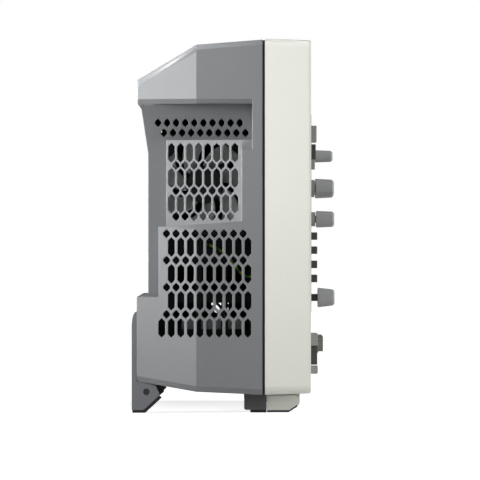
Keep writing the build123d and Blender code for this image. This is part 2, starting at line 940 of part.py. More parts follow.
def build_main_board():
    side = half_width - 8.0
    board = block(
        -side, side, main_board_depth, main_board_depth + board_thick, 16.0, top_height - 6.0
    )
    switch = block(
        power_x - 6, power_x + 6, power_switch_front() + power_travel, main_board_depth,
        power_height - 6, power_height + 6,
    )
    return board + switch


# ---------------------------------------------------------------- feet

def bracket_side():
    """Side view of a rear foot bracket: a runner up the back and a toe under the case."""
    arc = [
        (
            case_back + (rear_reach - case_back) * math.sin(math.radians(angle)),
            bracket_top - bracket_round * (1 - math.cos(math.radians(angle))),
        )
        for angle in (0, 20, 40, 60, 90)
    ]
    return arc + [
        (rear_reach, sole), (sole_front, sole), (toe_depth, toe_height),
        (toe_depth - 0.6, toe_height + 1.6), (toe_depth + 1.8, heel_height),
        (case_back, bezel_bottom + 8.2),
    ]


def under_case(solid):
    """Takes off what would reach into the housing's form."""
    return solid - housing_form(0, housing_front)


def bracket_span(side):
    """Lower and higher end of a rear bracket across the instrument."""
    outer = half_width - bracket_inset
    inner = outer - bracket_width
    return (inner, outer) if side > 0 else (-outer, -inner)


def build_bracket(side):
    x_low, x_high = bracket_span(side)
    solid = under_case(side_solid(side_sketch(bracket_side()), x_low, x_high))
    pocket_rear = case_back - seat_gap
    pocket_front = toe_depth - 6.6
    pocket = side_sketch([
        (pocket_rear, 23.0), (pocket_rear, sole), (pocket_front, sole), (pocket_front, 23.0),
    ])
    solid -= side_solid(pocket, x_low + cheek, x_high - cheek)
    solid -= rod_across(screw_depth, screw_height, screw_radius, x_low - 1, x_high + 1)
    return solid


def build_rubber(side):
    """Rubber block between the cheeks, standing out at the toe, with a full-width sole."""
    x_low, x_high = bracket_span(side)
    core = side_solid(
        side_sketch([
            (case_back - seat_gap, heel_height), (case_back - seat_gap, sole),
            (sole_front, sole), (toe_depth, toe_height),
            (toe_depth - 3.0, toe_height + 2.4), (toe_depth - 3.2, heel_height - 1.0),
            (toe_depth - 1.0, heel_height - 0.4),
        ]),
        x_low + cheek, x_high - cheek,
    )
    sole_piece = side_solid(
        side_sketch([
            (rear_reach - 0.4, sole), (rear_reach - 0.4, 0), (sole_front - 0.8, 0),
            (toe_depth - 1.6, toe_height - 1.1), (toe_depth, toe_height), (sole_front, sole),
        ]),
        x_low, x_high,
    )
    solid = under_case(core + sole_piece)
    return solid - rod_across(screw_depth, screw_height, screw_radius, x_low - 1, x_high + 1)


def build_bracket_screws():
    """A cross screw through each rear foot, with a socket in both ends."""
    pieces = []
    for side in (-1, 1):
        x_low, x_high = bracket_span(side)
        shank = rod_across(screw_depth, screw_height, screw_radius, x_low + 0.6, x_high - 0.6)
        socket = rod_across(screw_depth, screw_height, screw_socket, x_high - 1.6, x_high)
        far_socket = rod_across(screw_depth, screw_height, screw_socket, x_low, x_low + 1.6)
        pieces.append(shank - socket - far_socket)
    return pieces


def foot_base_side():
    return side_sketch([
        (foot_base_rear, bezel_bottom + 0.2), (foot_base_rear, sole + 0.8),
        (foot_base_rear - 0.8, sole), (foot_base_front, sole),
        (foot_base_front, bezel_bottom + 0.2),
    ])


def foot_span(side):
    return side * front_foot_x - foot_width / 2, side * front_foot_x + foot_width / 2


def build_foot_base(side):
    x_low, x_high = foot_span(side)
    return under_case(
        side_solid(foot_base_side(), x_low, x_high) - bezel_form(0, 0, housing_front)
    )


def build_foot_pad(side):
    x_low, x_high = foot_span(side)
    return block(x_low + 0.4, x_high - 0.4, foot_base_front, foot_base_rear - foot_pad_short, 0, sole)


def leg_side():
    return side_sketch([
        (leg_toe_depth + 1.2, 10.4), (leg_toe_depth - 1.6, 8.5), (leg_toe_depth, leg_toe_height),
        (leg_flat_front, leg_sole + leg_lift), (leg_rear, leg_sole + leg_lift),
        (leg_rear, leg_axis_height), (leg_rear - 0.5, 10.2),
    ])


def build_leg(side):
    """Flip-out leg, forked at its front end round the bezel's lug."""
    x_low, x_high = foot_span(side)
    middle = (x_low + x_high) / 2
    body = side_solid(leg_side(), x_low, x_high)
    slot = lug_width / 2 + seat_gap
    body -= block(
        middle - slot, middle + slot, 0, leg_axis_depth + lug_radius + 1.2, 0, bezel_bottom
    )
    hollow_low = leg_sole + leg_lift + 2.0
    body -= block(middle - 8.5, middle + 8.5, 16.0, 23.6, hollow_low, bezel_bottom)
    bore = pin_radius + running_gap
    return body - rod_across(leg_axis_depth, leg_axis_height, bore, x_low + 1.2, x_high - 1.2)


def build_leg_sole(side):
    x_low, x_high = foot_span(side)
    middle = (x_low + x_high) / 2
    outline = side_sketch([
        (leg_flat_front, leg_sole + leg_lift), (leg_toe_depth, leg_toe_height),
        (leg_toe_depth - 0.3, leg_toe_height - 1.0), (leg_flat_front + 0.4, leg_lift),
        (leg_rear - 0.2, leg_lift), (leg_rear - 0.2, leg_sole + leg_lift),
    ])
    strip = side_solid(outline, x_low, x_high)
    slot = lug_width / 2 + seat_gap
    fork = block(
        middle - slot, middle + slot, 0, leg_axis_depth + lug_radius + 1.2, -1, bezel_bottom
    )
    return strip - fork


def build_hinge_pin(side):
    x_low, x_high = foot_span(side)
    return rod_across(leg_axis_depth, leg_axis_height, pin_radius, x_low + 1.7, x_high - 1.7)


# ---------------------------------------------------------------- rear connectors

def build_connector_plate():
    """Metal plate behind the bay's window, with holes for what is fixed in it."""
    edge = 1.0
    plate = block(
        -bay_half_width + edge, bay_half_width - edge,
        bay_floor - wall - connector_plate, bay_floor - wall, bay_bottom + edge, bay_top - edge,
    )
    return plate - plate_cutouts()


def plate_front():
    return bay_floor - wall


def rear_socket(x):
    z = rear_socket_height
    face = plate_front()
    front = face + rear_socket_reach
    tail = face - rear_socket_tail
    socket = coax_socket(x, z, front, tail, 1)
    nut = hex_nut(x, z, nut_across, face, face + nut_thick)
    shoulder = rod_back(x, z, rear_socket_shoulder, tail, face - connector_plate)
    mouth = rod_back(x, z, socket_bore, front - socket_core_back + 0.1, front + 1)
    return socket + nut + shoulder - mouth


def build_data_ports():
    """Network port and two stacked serial ports in metal shells."""
    front = plate_front() + port_reach
    back = plate_front() - port_deep
    shell = 1.0
    network = network_body(back, front)
    network -= block(
        network_x - 6, network_x + 6, back + 3, front + 1, network_low + 2.5, network_high - 3.0
    )
    serial = serial_body(back, front)
    half = serial_width / 2 - shell
    for low in (serial_low + 1.5, serial_low + 9.5):
        serial -= block(serial_x - half, serial_x + half, back + 4, front + 1, low, low + 5.0)
        serial += block(
            serial_x - half + 0.7, serial_x + half - 0.7, back + 3, front - 1.5, low + 2.6, low + 4.2
        )
    return [network, serial]


def network_body(depth_low, depth_high):
    half = network_width / 2
    return block(network_x - half, network_x + half, depth_low, depth_high, network_low, network_high)


def serial_body(depth_low, depth_high):
    half = serial_width / 2
    return block(serial_x - half, serial_x + half, depth_low, depth_high, serial_low, serial_high)


def inlet_block(wide, tall, depth_low, depth_high):
    return block(
        inlet_x - wide / 2, inlet_x + wide / 2, depth_low, depth_high,
        inlet_height - tall / 2, inlet_height + tall / 2,
    )


def inlet_face():
    return plate_front() + inlet_flange


def build_inlet():
    """Mains inlet with a recessed socket, three blades and a screw flange."""
    front = inlet_face()
    back = plate_front() - inlet_deep
    body = inlet_block(inlet_width, inlet_tall, back, plate_front())
    flange = inlet_block(inlet_flange_width, inlet_flange_tall, plate_front(), front)
    flange = fillet(flange.edges().filter_by(Axis.Y), 6.0)
    cavity = inlet_block(
        inlet_width - 2 * inlet_wall, inlet_tall - 2 * inlet_wall - 2.0, back + inlet_wall, front + 1
    )
    solid = body + flange - cavity
    for x, z in ((-7.0, 2.0), (0.0, -2.0), (7.0, 2.0)):
        blade = block(
            inlet_x + x - 1, inlet_x + x + 1, back + 2.5, front - 4.0,
            inlet_height + z - 2, inlet_height + z + 2,
        )
        solid += blade
    for x, z, seat in inlet_screw_places():
        solid -= rod_back(x, z, screw_hole, seat - 4, seat + 1)
    return solid


def plate_cutouts():
    """What the connector plate has to be cut for."""
    holes = [
        rod_back(x, rear_socket_height, socket_barrel, plate_front() - 3, plate_front() + 1)
        for x in rear_socket_columns
    ]
    low = plate_front() - 3
    high = plate_front() + 1
    holes.append(network_body(low, high))
    holes.append(serial_body(low, high))
    holes.append(inlet_block(inlet_width, inlet_tall, low, high))
    for x, z, seat in inlet_screw_places():
        holes.append(rod_back(x, z, screw_hole, low, high))
    return holes


def case_screw_places():
    """Screws through the back of the case, as (x, height, seat depth)."""
    seat = waist_back - case_screw_sink
    return [(x, z, seat) for x in case_screw_columns for z in case_screw_heights]


def inlet_screw_places():
    return [
        (inlet_x + x, inlet_height, inlet_face()) for x in (-inlet_screw_reach, inlet_screw_reach)
    ]


def cross_head_screw(length):
    """A pan-head screw along +Z, its seat at the origin and its shank below."""
    head = Pos(0, 0, screw_head_high / 2) * Cylinder(screw_head, screw_head_high)
    head = fillet(head.edges().sort_by(Axis.Z)[-1], 0.8)
    shank = Pos(0, 0, -length / 2) * Cylinder(screw_shank, length + 0.2)
    slot = Pos(0, 0, screw_head_high) * Box(3.6, 0.8, 1.8)
    return head + shank - slot - slot.rotate(Axis.Z, 90)


def build_screws():
    """All the cross-head screws: case, inlet flange and fan."""
    screws = []
    for x, z, seat in case_screw_places() + inlet_screw_places():
        screws.append(Pos(x, depth_to_y(seat), z) * Rot(-90, 0, 0) * cross_head_screw(5.0))
    for depth, height in fan_screw_places():
        place = Pos(fan_x_low, depth_to_y(depth), height) * Rot(0, -90, 0)
        screws.append(place * cross_head_screw(fan_thick + 3.0))
    return screws


# ---------------------------------------------------------------- inside

fan_x_low = fan_inset - half_width
tray_left = fan_x_low + fan_thick
tray_right = half_width - tray_right_inset


def build_tray():
    """Bent sheet tray: floor, a left wall that carries the fan, and a right wall."""
    floor = block(
        tray_left, tray_right, tray_front, tray_rear, tray_height, tray_height + tray_thick
    )
    left = block(
        tray_left, tray_left + tray_thick, tray_front, tray_rear + tray_wall_reach,
        tray_height, fan_height + 31,
    )
    right = block(
        tray_right - tray_thick, tray_right, tray_front, tray_rear + tray_wall_reach,
        tray_height, right_wall_top,
    )
    right -= block(tray_right - 3, tray_right + 1, 50, 61, 57.2, 66.6)
    left -= rod_across(fan_depth, fan_height, fan_bore - 1, tray_left - 1, tray_left + 3)
    half = tray_vent / 2
    for height in tray_vent_heights:
        for depth in tray_vent_depths:
            left -= block(
                tray_left - 1, tray_left + 3, depth - half, depth + half,
                height - half - 2.0, height + half + 2.0,
            )
    tray = floor + left + right
    for depth, height in fan_screw_places():
        tray -= rod_across(depth, height, screw_hole, tray_left - 1, tray_left + 3)
    return tray


def fan_screw_places():
    reach = fan_size / 2 - 5.0
    return [
        (fan_depth + a * reach, fan_height + b * reach) for a in (-1, 1) for b in (-1, 1)
    ]


def build_fan_frame():
    """Square frame with a round mouth, a motor seat on four struts and the axle."""
    half = fan_size / 2
    x_high = fan_x_low + fan_thick
    frame = block(
        fan_x_low, x_high, fan_depth - half, fan_depth + half, fan_height - half, fan_height + half
    )
    frame = fillet(frame.edges().filter_by(Axis.X), 4.0)
    frame -= rod_across(fan_depth, fan_height, fan_bore, fan_x_low - 1, x_high + 1)
    seat = rod_across(fan_depth, fan_height, fan_hub, x_high - 3.0, x_high)
    struts = []
    for angle in (45, 135, 225, 315):
        bar = block(
            x_high - 2.5, x_high, fan_depth - 1.5, fan_depth + 1.5, fan_height, fan_height + fan_bore + 1
        )
        struts.append(bar.rotate(Axis((0, depth_to_y(fan_depth), fan_height), (1, 0, 0)), angle))
    axle = rod_across(fan_depth, fan_height, fan_axle, fan_x_low + 3.0, x_high - 1)
    frame = join([frame, seat, axle] + struts)
    for depth, height in fan_screw_places():
        frame -= rod_across(depth, height, screw_hole, fan_x_low - 1, x_high + 1)
    return frame


def build_fan_rotor():
    """Hub cup and curved-back blades, turning on the frame's axle."""
    x_high = fan_x_low + fan_thick - 3.0 - 0.6
    hub = rod_across(fan_depth, fan_height, fan_hub, fan_x_low + 1.0, x_high)
    blade_out = fan_bore - 0.8
    blades = []
    centre = Vector(0, depth_to_y(fan_depth), fan_height)
    for i in range(fan_blades):
        blade = Box(1.6, blade_out - fan_hub + 2, 15.5)
        blade = Rot(0, 38, 0) * blade
        blade = Pos((fan_x_low + x_high) / 2 + 0.6, 0, 0) * Pos(0, (blade_out + fan_hub - 2) / 2, 0) * blade
        blade = blade.rotate(Axis.X, i * 360 / fan_blades)
        blades.append(Pos(centre.X, centre.Y, centre.Z) * blade)
    swept = rod_across(fan_depth, fan_height, blade_out, fan_x_low + 0.8, x_high)
    rotor = join([hub] + blades) & swept
    bore = fan_axle + running_gap
    return rotor - rod_across(fan_depth, fan_height, bore, fan_x_low, fan_x_low + fan_thick)


def build_supply():
    """Power supply: board with a can, a transformer and two capacitors."""
    base = tray_height + tray_thick
    front = supply_front
    rear = supply_rear
    low = base + supply_lift
    high = low + board_thick
    board = block(supply_left, supply_right, front, rear, low, high)
    legs = [
        rod_up(x, depth, base, low, 2.0)
        for x in (supply_left + 5, supply_right - 5) for depth in (front + 4, rear - 4)
    ]
    can = block(supply_left + 6, supply_left + 40, front + 2, rear - 2, high, base + 30)
    core = block(supply_left + 48, supply_left + 70, front + 3, rear - 3, high, base + 26)
    caps = [
        rod_up(supply_left + 82, depth, high, base + 28, 4.6) for depth in (front + 7, rear - 6)
    ]
    return join([board, can, core] + legs + caps)


def build_heat_sink():
    """Finned block on the tray behind the left lower vent."""
    base = tray_height + tray_thick
    pieces = [block(sink_left, sink_right, sink_front, sink_rear, base, base + sink_base)]
    pitch = (sink_right - sink_left - fin_thick) / (fin_count - 1)
    for i in range(fin_count):
        x = sink_left + i * pitch
        pieces.append(
            block(x, x + fin_thick, sink_front, sink_rear, base + sink_base - 1, base + sink_tall)
        )
    return join(pieces)


def tray_posts():
    """Pillars from the housing's floor up to the tray."""
    form = housing_form(wall / 2, housing_front)
    posts = []
    for x in (tray_left + 9, 0.0, tray_right - 9):
        for depth in tray_post_depths:
            posts.append(rod_up(x, depth, 8.0, tray_height, 3.5) & form)
    return posts


def earth_wire_route():
    """Earth lead from a tab on the main board back to the tray's left wall."""
    start = main_board_depth + board_thick
    beside = tray_left - 10.0
    points = [
        (beside, start, 82.0), (beside, start + 9.8, 82.0), (beside, start + 15.8, 91.0),
        (beside + 0.5, start + 22.8, 98.0), (beside, start + 31.8, 102.0),
        (tray_left, start + 31.8, 102.0),
    ]
    return [(x, depth_to_y(depth), height) for x, depth, height in points]


def wire_tube(points):
    radii = []
    for i in range(1, len(points) - 1):
        before = Vector(*points[i]) - Vector(*points[i - 1])
        after = Vector(*points[i + 1]) - Vector(*points[i])
        turn = math.radians(before.get_angle(after))
        shorter = min(before.length, after.length)
        radii.append(0.45 * shorter / math.tan(turn / 2))
    path = FilletPolyline(*points, radius=radii)
    start = Plane(origin=path @ 0, z_dir=path % 0)
    tube = sweep(start * Circle(wire_radius), path=path)
    section = math.pi * wire_radius ** 2
    print("wire radii", [round(r, 1) for r in radii])
    print("wire volume against section times length", tube.volume / (section * path.length))
    return tube


def main():
    os.makedirs("parts", exist_ok=True)
    save(build_bezel(), "front_bezel")
    save(build_gasket(), "seam_gasket")
    save(build_fascia(), "control_fascia")
    save(build_lens(), "display_lens")
    save(build_display(), "display_module")
    shell = hollow_housing()
    regions = [
        ("grip_panel", grip_panel_region(), grip_cells()),
        ("upper_vent", upper_panel_region(), upper_cells()),
        ("lower_vent", lower_panel_region(), lower_cells()),
    ]
    for name, region, cells in regions:
        panel = perforate(shell & region, cells)
        save(panel, "left_" + name)
        save(other_side(panel), "right_" + name)
        shell = shell - region - other_side(region)
    save(shell, "rear_housing")
    for name, x, z, base, tip, skirt, reach in knob_sizes:
        save(build_knob(x, z, base, tip, skirt, reach), name)
    save(
        Compound([encoder(k[1], k[2], k[5]) for k in knob_sizes]),
        "knob_encoders",
    )
    for number, x, z in number_key_places():
        save(build_key(x, z, key_width, key_height, key_reach), f"number_key_{number:02d}")
    for name, x, z, wide, tall, reach in function_keys:
        save(build_key(x, z, wide, tall, reach), name)
    save(build_key_board(), "key_board")
    save(build_power_button(), "power_button")
    save(build_power_guard(), "power_guard")
    save(Compound([front_socket(x) for x in socket_columns]), "output_sockets")
    save(build_main_board(), "main_board")
    for side, label in ((-1, "left"), (1, "right")):
        save(build_leg(side), f"{label}_front_leg")
        save(build_leg_sole(side), f"{label}_leg_sole")
    save(Compound([build_bracket(side) for side in (-1, 1)]), "rear_foot_brackets")
    save(Compound([build_rubber(side) for side in (-1, 1)]), "rear_foot_rubbers")
    save(Compound(build_bracket_screws()), "foot_screws")
    save(Compound([build_foot_base(side) for side in (-1, 1)]), "front_foot_bases")
    save(Compound([build_foot_pad(side) for side in (-1, 1)]), "front_foot_pads")
    save(Compound([build_hinge_pin(side) for side in (-1, 1)]), "leg_hinge_pins")
    save(build_connector_plate(), "connector_plate")
    save(Compound([rear_socket(x) for x in rear_socket_columns]), "rear_sockets")
    save(Compound(build_data_ports()), "data_ports")
    save(build_inlet(), "mains_inlet")
    save(Compound(build_screws()), "cross_head_screws")
    save(build_tray(), "chassis_tray")
    save(build_fan_frame(), "fan_frame")
    save(build_fan_rotor(), "fan_rotor")
    save(build_supply(), "power_supply")
    save(build_heat_sink(), "heat_sink")
    save(wire_tube(earth_wire_route()), "earth_wire")


main()
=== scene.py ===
import bpy
import bmesh
import math
from mathutils import Euler, Matrix, Vector
from mathutils.bvhtree import BVHTree


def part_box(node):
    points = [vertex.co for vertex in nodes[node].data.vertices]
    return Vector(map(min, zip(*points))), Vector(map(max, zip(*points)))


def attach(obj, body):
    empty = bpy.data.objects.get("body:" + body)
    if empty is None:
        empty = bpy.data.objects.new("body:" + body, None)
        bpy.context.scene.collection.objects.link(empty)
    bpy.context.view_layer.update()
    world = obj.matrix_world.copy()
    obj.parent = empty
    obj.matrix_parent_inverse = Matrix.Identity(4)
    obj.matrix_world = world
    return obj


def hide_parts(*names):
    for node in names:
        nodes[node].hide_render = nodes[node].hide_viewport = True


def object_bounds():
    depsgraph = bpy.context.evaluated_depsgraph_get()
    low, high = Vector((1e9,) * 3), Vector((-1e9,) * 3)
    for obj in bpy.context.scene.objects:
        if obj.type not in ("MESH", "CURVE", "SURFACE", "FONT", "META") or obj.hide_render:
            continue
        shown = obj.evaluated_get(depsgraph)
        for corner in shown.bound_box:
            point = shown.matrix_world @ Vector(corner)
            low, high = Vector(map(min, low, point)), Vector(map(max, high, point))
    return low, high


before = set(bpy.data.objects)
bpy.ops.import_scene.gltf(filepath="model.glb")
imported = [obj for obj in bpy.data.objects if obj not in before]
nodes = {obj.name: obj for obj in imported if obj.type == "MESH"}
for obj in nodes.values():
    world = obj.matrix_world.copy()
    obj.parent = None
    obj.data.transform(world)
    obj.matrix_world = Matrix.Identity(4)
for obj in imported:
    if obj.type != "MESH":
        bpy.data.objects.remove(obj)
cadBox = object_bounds()
mm = 0.001
print("frame loaded,", len(nodes), "nodes")


def linear(hexColour):
    # sRGB hex to the linear colour that shaders take
    parts = [int(hexColour[i:i + 2], 16) / 255 for i in (1, 3, 5)]
    return tuple(c / 12.92 if c <= 0.04045 else ((c + 0.055) / 1.055) ** 2.4 for c in parts) + (1.0,)


def addNode(tree, kind, settings=None, links=None, values=None):
    # links: {input: (node, output)}, values: {input: constant}
    node = tree.nodes.new(kind)
    for key, value in (settings or {}).items():
        setattr(node, key, value)
    for key, value in (values or {}).items():
        node.inputs[key].default_value = value
    for key, (source, output) in (links or {}).items():
        tree.links.new(source.outputs[output], node.inputs[key])
    return node


def startMaterial(name, values):
    # a material with its Principled shader, Object coordinates and constant values on the sockets
    material = bpy.data.materials.new(name)
    material.use_nodes = True
    tree = material.node_tree
    tree.nodes.clear()
    output = addNode(tree, "ShaderNodeOutputMaterial")
    shader = addNode(tree, "ShaderNodeBsdfPrincipled", values=values)
    tree.links.new(shader.outputs["BSDF"], output.inputs["Surface"])
    place = addNode(tree, "ShaderNodeTexCoord")
    return material, tree, shader, place


def perMm(size):
    # texture scale whose cells are this many millimetres across
    return 1.0 / (size * mm)


plasticValues = {
    "cloudMm": 45,       # size of the faint clouding
    "speckle": 0.02,     # how much the grain lightens and darkens the colour
    "shineSwing": 0.04,  # how much the roughness changes across a cloud
    "relief": 0.35,      # strength of the grain's relief
}


def mouldedPlastic(name, colour, shade, roughness, grainMm, grainDepthMm, edgeMm=0.0):
    # injection moulded, spark eroded tool: fine even grain, faint clouding, a little shine on the peaks
    values = plasticValues
    material, tree, shader, place = startMaterial(name, {"IOR": 1.5, "Roughness": roughness})
    cloud = addNode(
        tree, "ShaderNodeTexNoise", links={"Vector": (place, "Object")},
        values={"Scale": perMm(values["cloudMm"]), "Detail": 3.0, "Roughness": 0.55},
    )
    tone = addNode(
        tree, "ShaderNodeMix", {"data_type": "RGBA"}, {"Factor": (cloud, "Fac")},
        {"A": linear(colour), "B": linear(shade)},
    )
    grain = addNode(
        tree, "ShaderNodeTexNoise", links={"Vector": (place, "Object")},
        values={"Scale": perMm(grainMm), "Detail": 2.0, "Roughness": 0.6},
    )
    speck = addNode(
        tree, "ShaderNodeMapRange", links={"Value": (grain, "Fac")},
        values={
            "From Min": 0.3, "From Max": 0.7,
            "To Min": 1.0 - values["speckle"], "To Max": 1.0 + values["speckle"],
        },
    )
    mottled = addNode(
        tree, "ShaderNodeVectorMath", {"operation": "SCALE"},
        {"Vector": (tone, "Result"), "Scale": (speck, "Result")},
    )
    tree.links.new(mottled.outputs["Vector"], shader.inputs["Base Color"])
    rough = addNode(
        tree, "ShaderNodeMapRange", links={"Value": (cloud, "Fac")},
        values={
            "From Min": 0.3, "From Max": 0.7,
            "To Min": roughness - values["shineSwing"], "To Max": roughness + values["shineSwing"],
        },
    )
    tree.links.new(rough.outputs["Result"], shader.inputs["Roughness"])
    bump = addNode(
        tree, "ShaderNodeBump", links={"Height": (grain, "Fac")},
        values={"Strength": values["relief"], "Distance": grainDepthMm * mm},
    )
    if edgeMm:
        # moulded edges catch the light along a narrow round
        soft = addNode(tree, "ShaderNodeBevel", {"samples": 4}, values={"Radius": edgeMm * mm})
        tree.links.new(soft.outputs["Normal"], bump.inputs["Normal"])
    tree.links.new(bump.outputs["Normal"], shader.inputs["Normal"])
    return material


# grain is drawn at 0.4 to 0.8 mm, about three times the real one, so that it shows
caseAbs = mouldedPlastic("caseAbsGrey", "#77797b", "#727476", 0.46, 0.8, 0.05, edgeMm=0.6)
bezelAbs = mouldedPlastic("bezelAbsIvory", "#dfe0d8", "#dadbd3", 0.42, 0.6, 0.03)
fasciaAbs = mouldedPlastic("fasciaAbsGrey", "#a4a6a4", "#9ea09e", 0.45, 0.6, 0.03)
knobAbs = mouldedPlastic("knobAbsGrey", "#adaeaf", "#a7a8a9", 0.4, 0.5, 0.02)
darkKeyAbs = mouldedPlastic("keyAbsCharcoal", "#4c4d49", "#474844", 0.45, 0.5, 0.02)
lightKeyAbs = mouldedPlastic("keyAbsPale", "#a2a4a0", "#9c9e9a", 0.42, 0.5, 0.02)
footNylon = mouldedPlastic("footNylonGrey", "#75767a", "#6f7074", 0.5, 0.7, 0.05)
footBaseNylon = mouldedPlastic("footBaseNylonDark", "#575759", "#525254", 0.5, 0.7, 0.05)
legAbs = mouldedPlastic("legAbsPale", "#e3e4dc", "#dedfd7", 0.42, 0.6, 0.03)
blackAbs = mouldedPlastic("fittingAbsBlack", "#1b1b1c", "#161617", 0.4, 0.6, 0.03)
fanPbt = mouldedPlastic("fanPbtGrey", "#eeefef", "#e8e9ea", 0.38, 0.5, 0.02)
chipEpoxy = mouldedPlastic("chipEpoxyBlack", "#1d1e20", "#2a2b2d", 0.45, 0.4, 0.02)


def sheetRubber():
    # moulded neoprene: near black, dull, very fine pimples and dusty patches
    material, tree, shader, place = startMaterial("neopreneBlack", {"IOR": 1.52, "Roughness": 0.7})
    dust = addNode(
        tree, "ShaderNodeTexNoise", links={"Vector": (place, "Object")},
        values={"Scale": perMm(6), "Detail": 5.0},
    )
    tone = addNode(
        tree, "ShaderNodeMix", {"data_type": "RGBA"}, {"Factor": (dust, "Fac")},
        {"A": linear("#0c0c0c"), "B": linear("#1a1a1a")},
    )
    tree.links.new(tone.outputs["Result"], shader.inputs["Base Color"])
    pimple = addNode(
        tree, "ShaderNodeTexVoronoi", links={"Vector": (place, "Object")}, values={"Scale": perMm(0.7)},
    )
    bump = addNode(
        tree, "ShaderNodeBump", links={"Height": (pimple, "Distance")},
        values={"Strength": 0.3, "Distance": 0.04 * mm},
    )
    tree.links.new(bump.outputs["Normal"], shader.inputs["Normal"])
    return material


neoprene = sheetRubber()


def brushedMetal(name, colour, shade, roughness, strokeMm, across):
    # sheet or turned metal: fine strokes along one direction, colour hardly changes, the shine breaks up
    material, tree, shader, place = startMaterial(name, {"Metallic": 1.0, "Roughness": roughness})
    stretch = addNode(
        tree, "ShaderNodeMapping", links={"Vector": (place, "Object")}, values={"Scale": across},
    )
    strokes = addNode(
        tree, "ShaderNodeTexNoise", links={"Vector": (stretch, "Vector")},
        values={"Scale": perMm(strokeMm), "Detail": 4.0, "Roughness": 0.65},
    )
    tone = addNode(
        tree, "ShaderNodeMix", {"data_type": "RGBA"}, {"Factor": (strokes, "Fac")},
        {"A": linear(colour), "B": linear(shade)},
    )
    tree.links.new(tone.outputs["Result"], shader.inputs["Base Color"])
    rough = addNode(
        tree, "ShaderNodeMapRange", links={"Value": (strokes, "Fac")},
        values={"From Min": 0.3, "From Max": 0.7, "To Min": roughness - 0.08, "To Max": roughness + 0.1},
    )
    tree.links.new(rough.outputs["Result"], shader.inputs["Roughness"])
    bump = addNode(
        tree, "ShaderNodeBump", links={"Height": (strokes, "Fac")},
        values={"Strength": 0.15, "Distance": 0.02 * mm},
    )
    tree.links.new(bump.outputs["Normal"], shader.inputs["Normal"])
    return material


nickelPlate = brushedMetal("nickelPlatedBrass", "#9a9891", "#8a8881", 0.34, 0.6, (1, 0.15, 1))
zincSteel = brushedMetal("zincPlatedSteel", "#a9abad", "#96989a", 0.34, 0.5, (1, 1, 1))
sheetSteel = brushedMetal("galvanisedSheetSteel", "#9b9d9f", "#85878a", 0.42, 0.8, (0.1, 1, 1))
finAluminium = brushedMetal("extrudedAluminium", "#b6b7ba", "#a3a4a7", 0.38, 0.7, (1, 0.1, 1))
darkZinc = brushedMetal("blackZincSteel", "#5d5e60", "#4a4b4d", 0.42, 0.5, (1, 1, 1))
darkSteel = brushedMetal("blackenedSheetSteel", "#3a3b3d", "#2f3032", 0.5, 0.8, (0.1, 1, 1))


def hardenedGlass(name, colour, shade, filmMm, detail, shine):
    # hardened glass over something dark: deep colour, sharp reflections, a faint oily unevenness
    material, tree, shader, place = startMaterial(
        name, {"IOR": 1.52, "Coat Weight": 0.6, "Coat Roughness": 0.03},
    )
    film = addNode(
        tree, "ShaderNodeTexNoise", links={"Vector": (place, "Object")},
        values={"Scale": perMm(filmMm), "Detail": detail},
    )
    tone = addNode(
        tree, "ShaderNodeMix", {"data_type": "RGBA"}, {"Factor": (film, "Fac")},
        {"A": linear(colour), "B": linear(shade)},
    )
    tree.links.new(tone.outputs["Result"], shader.inputs["Base Color"])
    rough = addNode(
        tree, "ShaderNodeMapRange", links={"Value": (film, "Fac")},
        values={"From Min": 0.35, "From Max": 0.7, "To Min": shine[0], "To Max": shine[1]},
    )
    tree.links.new(rough.outputs["Result"], shader.inputs["Roughness"])
    return material


glassBlack = hardenedGlass("coverGlassBlack", "#0b0c0e", "#121418", 60, 4.0, (0.05, 0.12))
# the unlit display is very slightly lighter and bluer than the rim round it
screenGlass = hardenedGlass("displayGlassUnlit", "#15181d", "#1b1f26", 40, 3.0, (0.08, 0.16))


def solderMask():
    # glass-epoxy board under green mask: tracks show as slightly lighter, raised lines
    material, tree, shader, place = startMaterial("solderMaskGreen", {"IOR": 1.5, "Roughness": 0.35})
    tracks = addNode(
        tree, "ShaderNodeTexBrick", {"offset": 0.37, "squash": 1.4},
        {"Vector": (place, "Object")},
        {"Scale": perMm(12), "Mortar Size": 0.035, "Color1": linear("#14442c"),
         "Color2": linear("#174c31"), "Mortar": linear("#2b6f49")},
    )
    tree.links.new(tracks.outputs["Color"], shader.inputs["Base Color"])
    bump = addNode(
        tree, "ShaderNodeBump", links={"Height": (tracks, "Fac")},
        values={"Strength": 0.3, "Distance": 0.04 * mm},
    )
    tree.links.new(bump.outputs["Normal"], shader.inputs["Normal"])
    return material


boardGreen = solderMask()


def wirePvc():
    # earth lead insulation: glossy PVC, green with a yellow stripe that winds round it
    material, tree, shader, place = startMaterial("wirePvcYellowGreen", {"IOR": 1.53, "Roughness": 0.3})
    stripe = addNode(
        tree, "ShaderNodeTexWave", {"bands_direction": "DIAGONAL"}, {"Vector": (place, "Object")},
        {"Scale": perMm(14), "Distortion": 0.0},
    )
    edge = addNode(
        tree, "ShaderNodeMapRange", links={"Value": (stripe, "Fac")},
        values={"From Min": 0.62, "From Max": 0.68},
    )
    tone = addNode(
        tree, "ShaderNodeMix", {"data_type": "RGBA"}, {"Factor": (edge, "Result")},
        {"A": linear("#a9bf1e"), "B": linear("#3f8a35")},
    )
    tree.links.new(tone.outputs["Result"], shader.inputs["Base Color"])
    return material


wireInsulation = wirePvc()


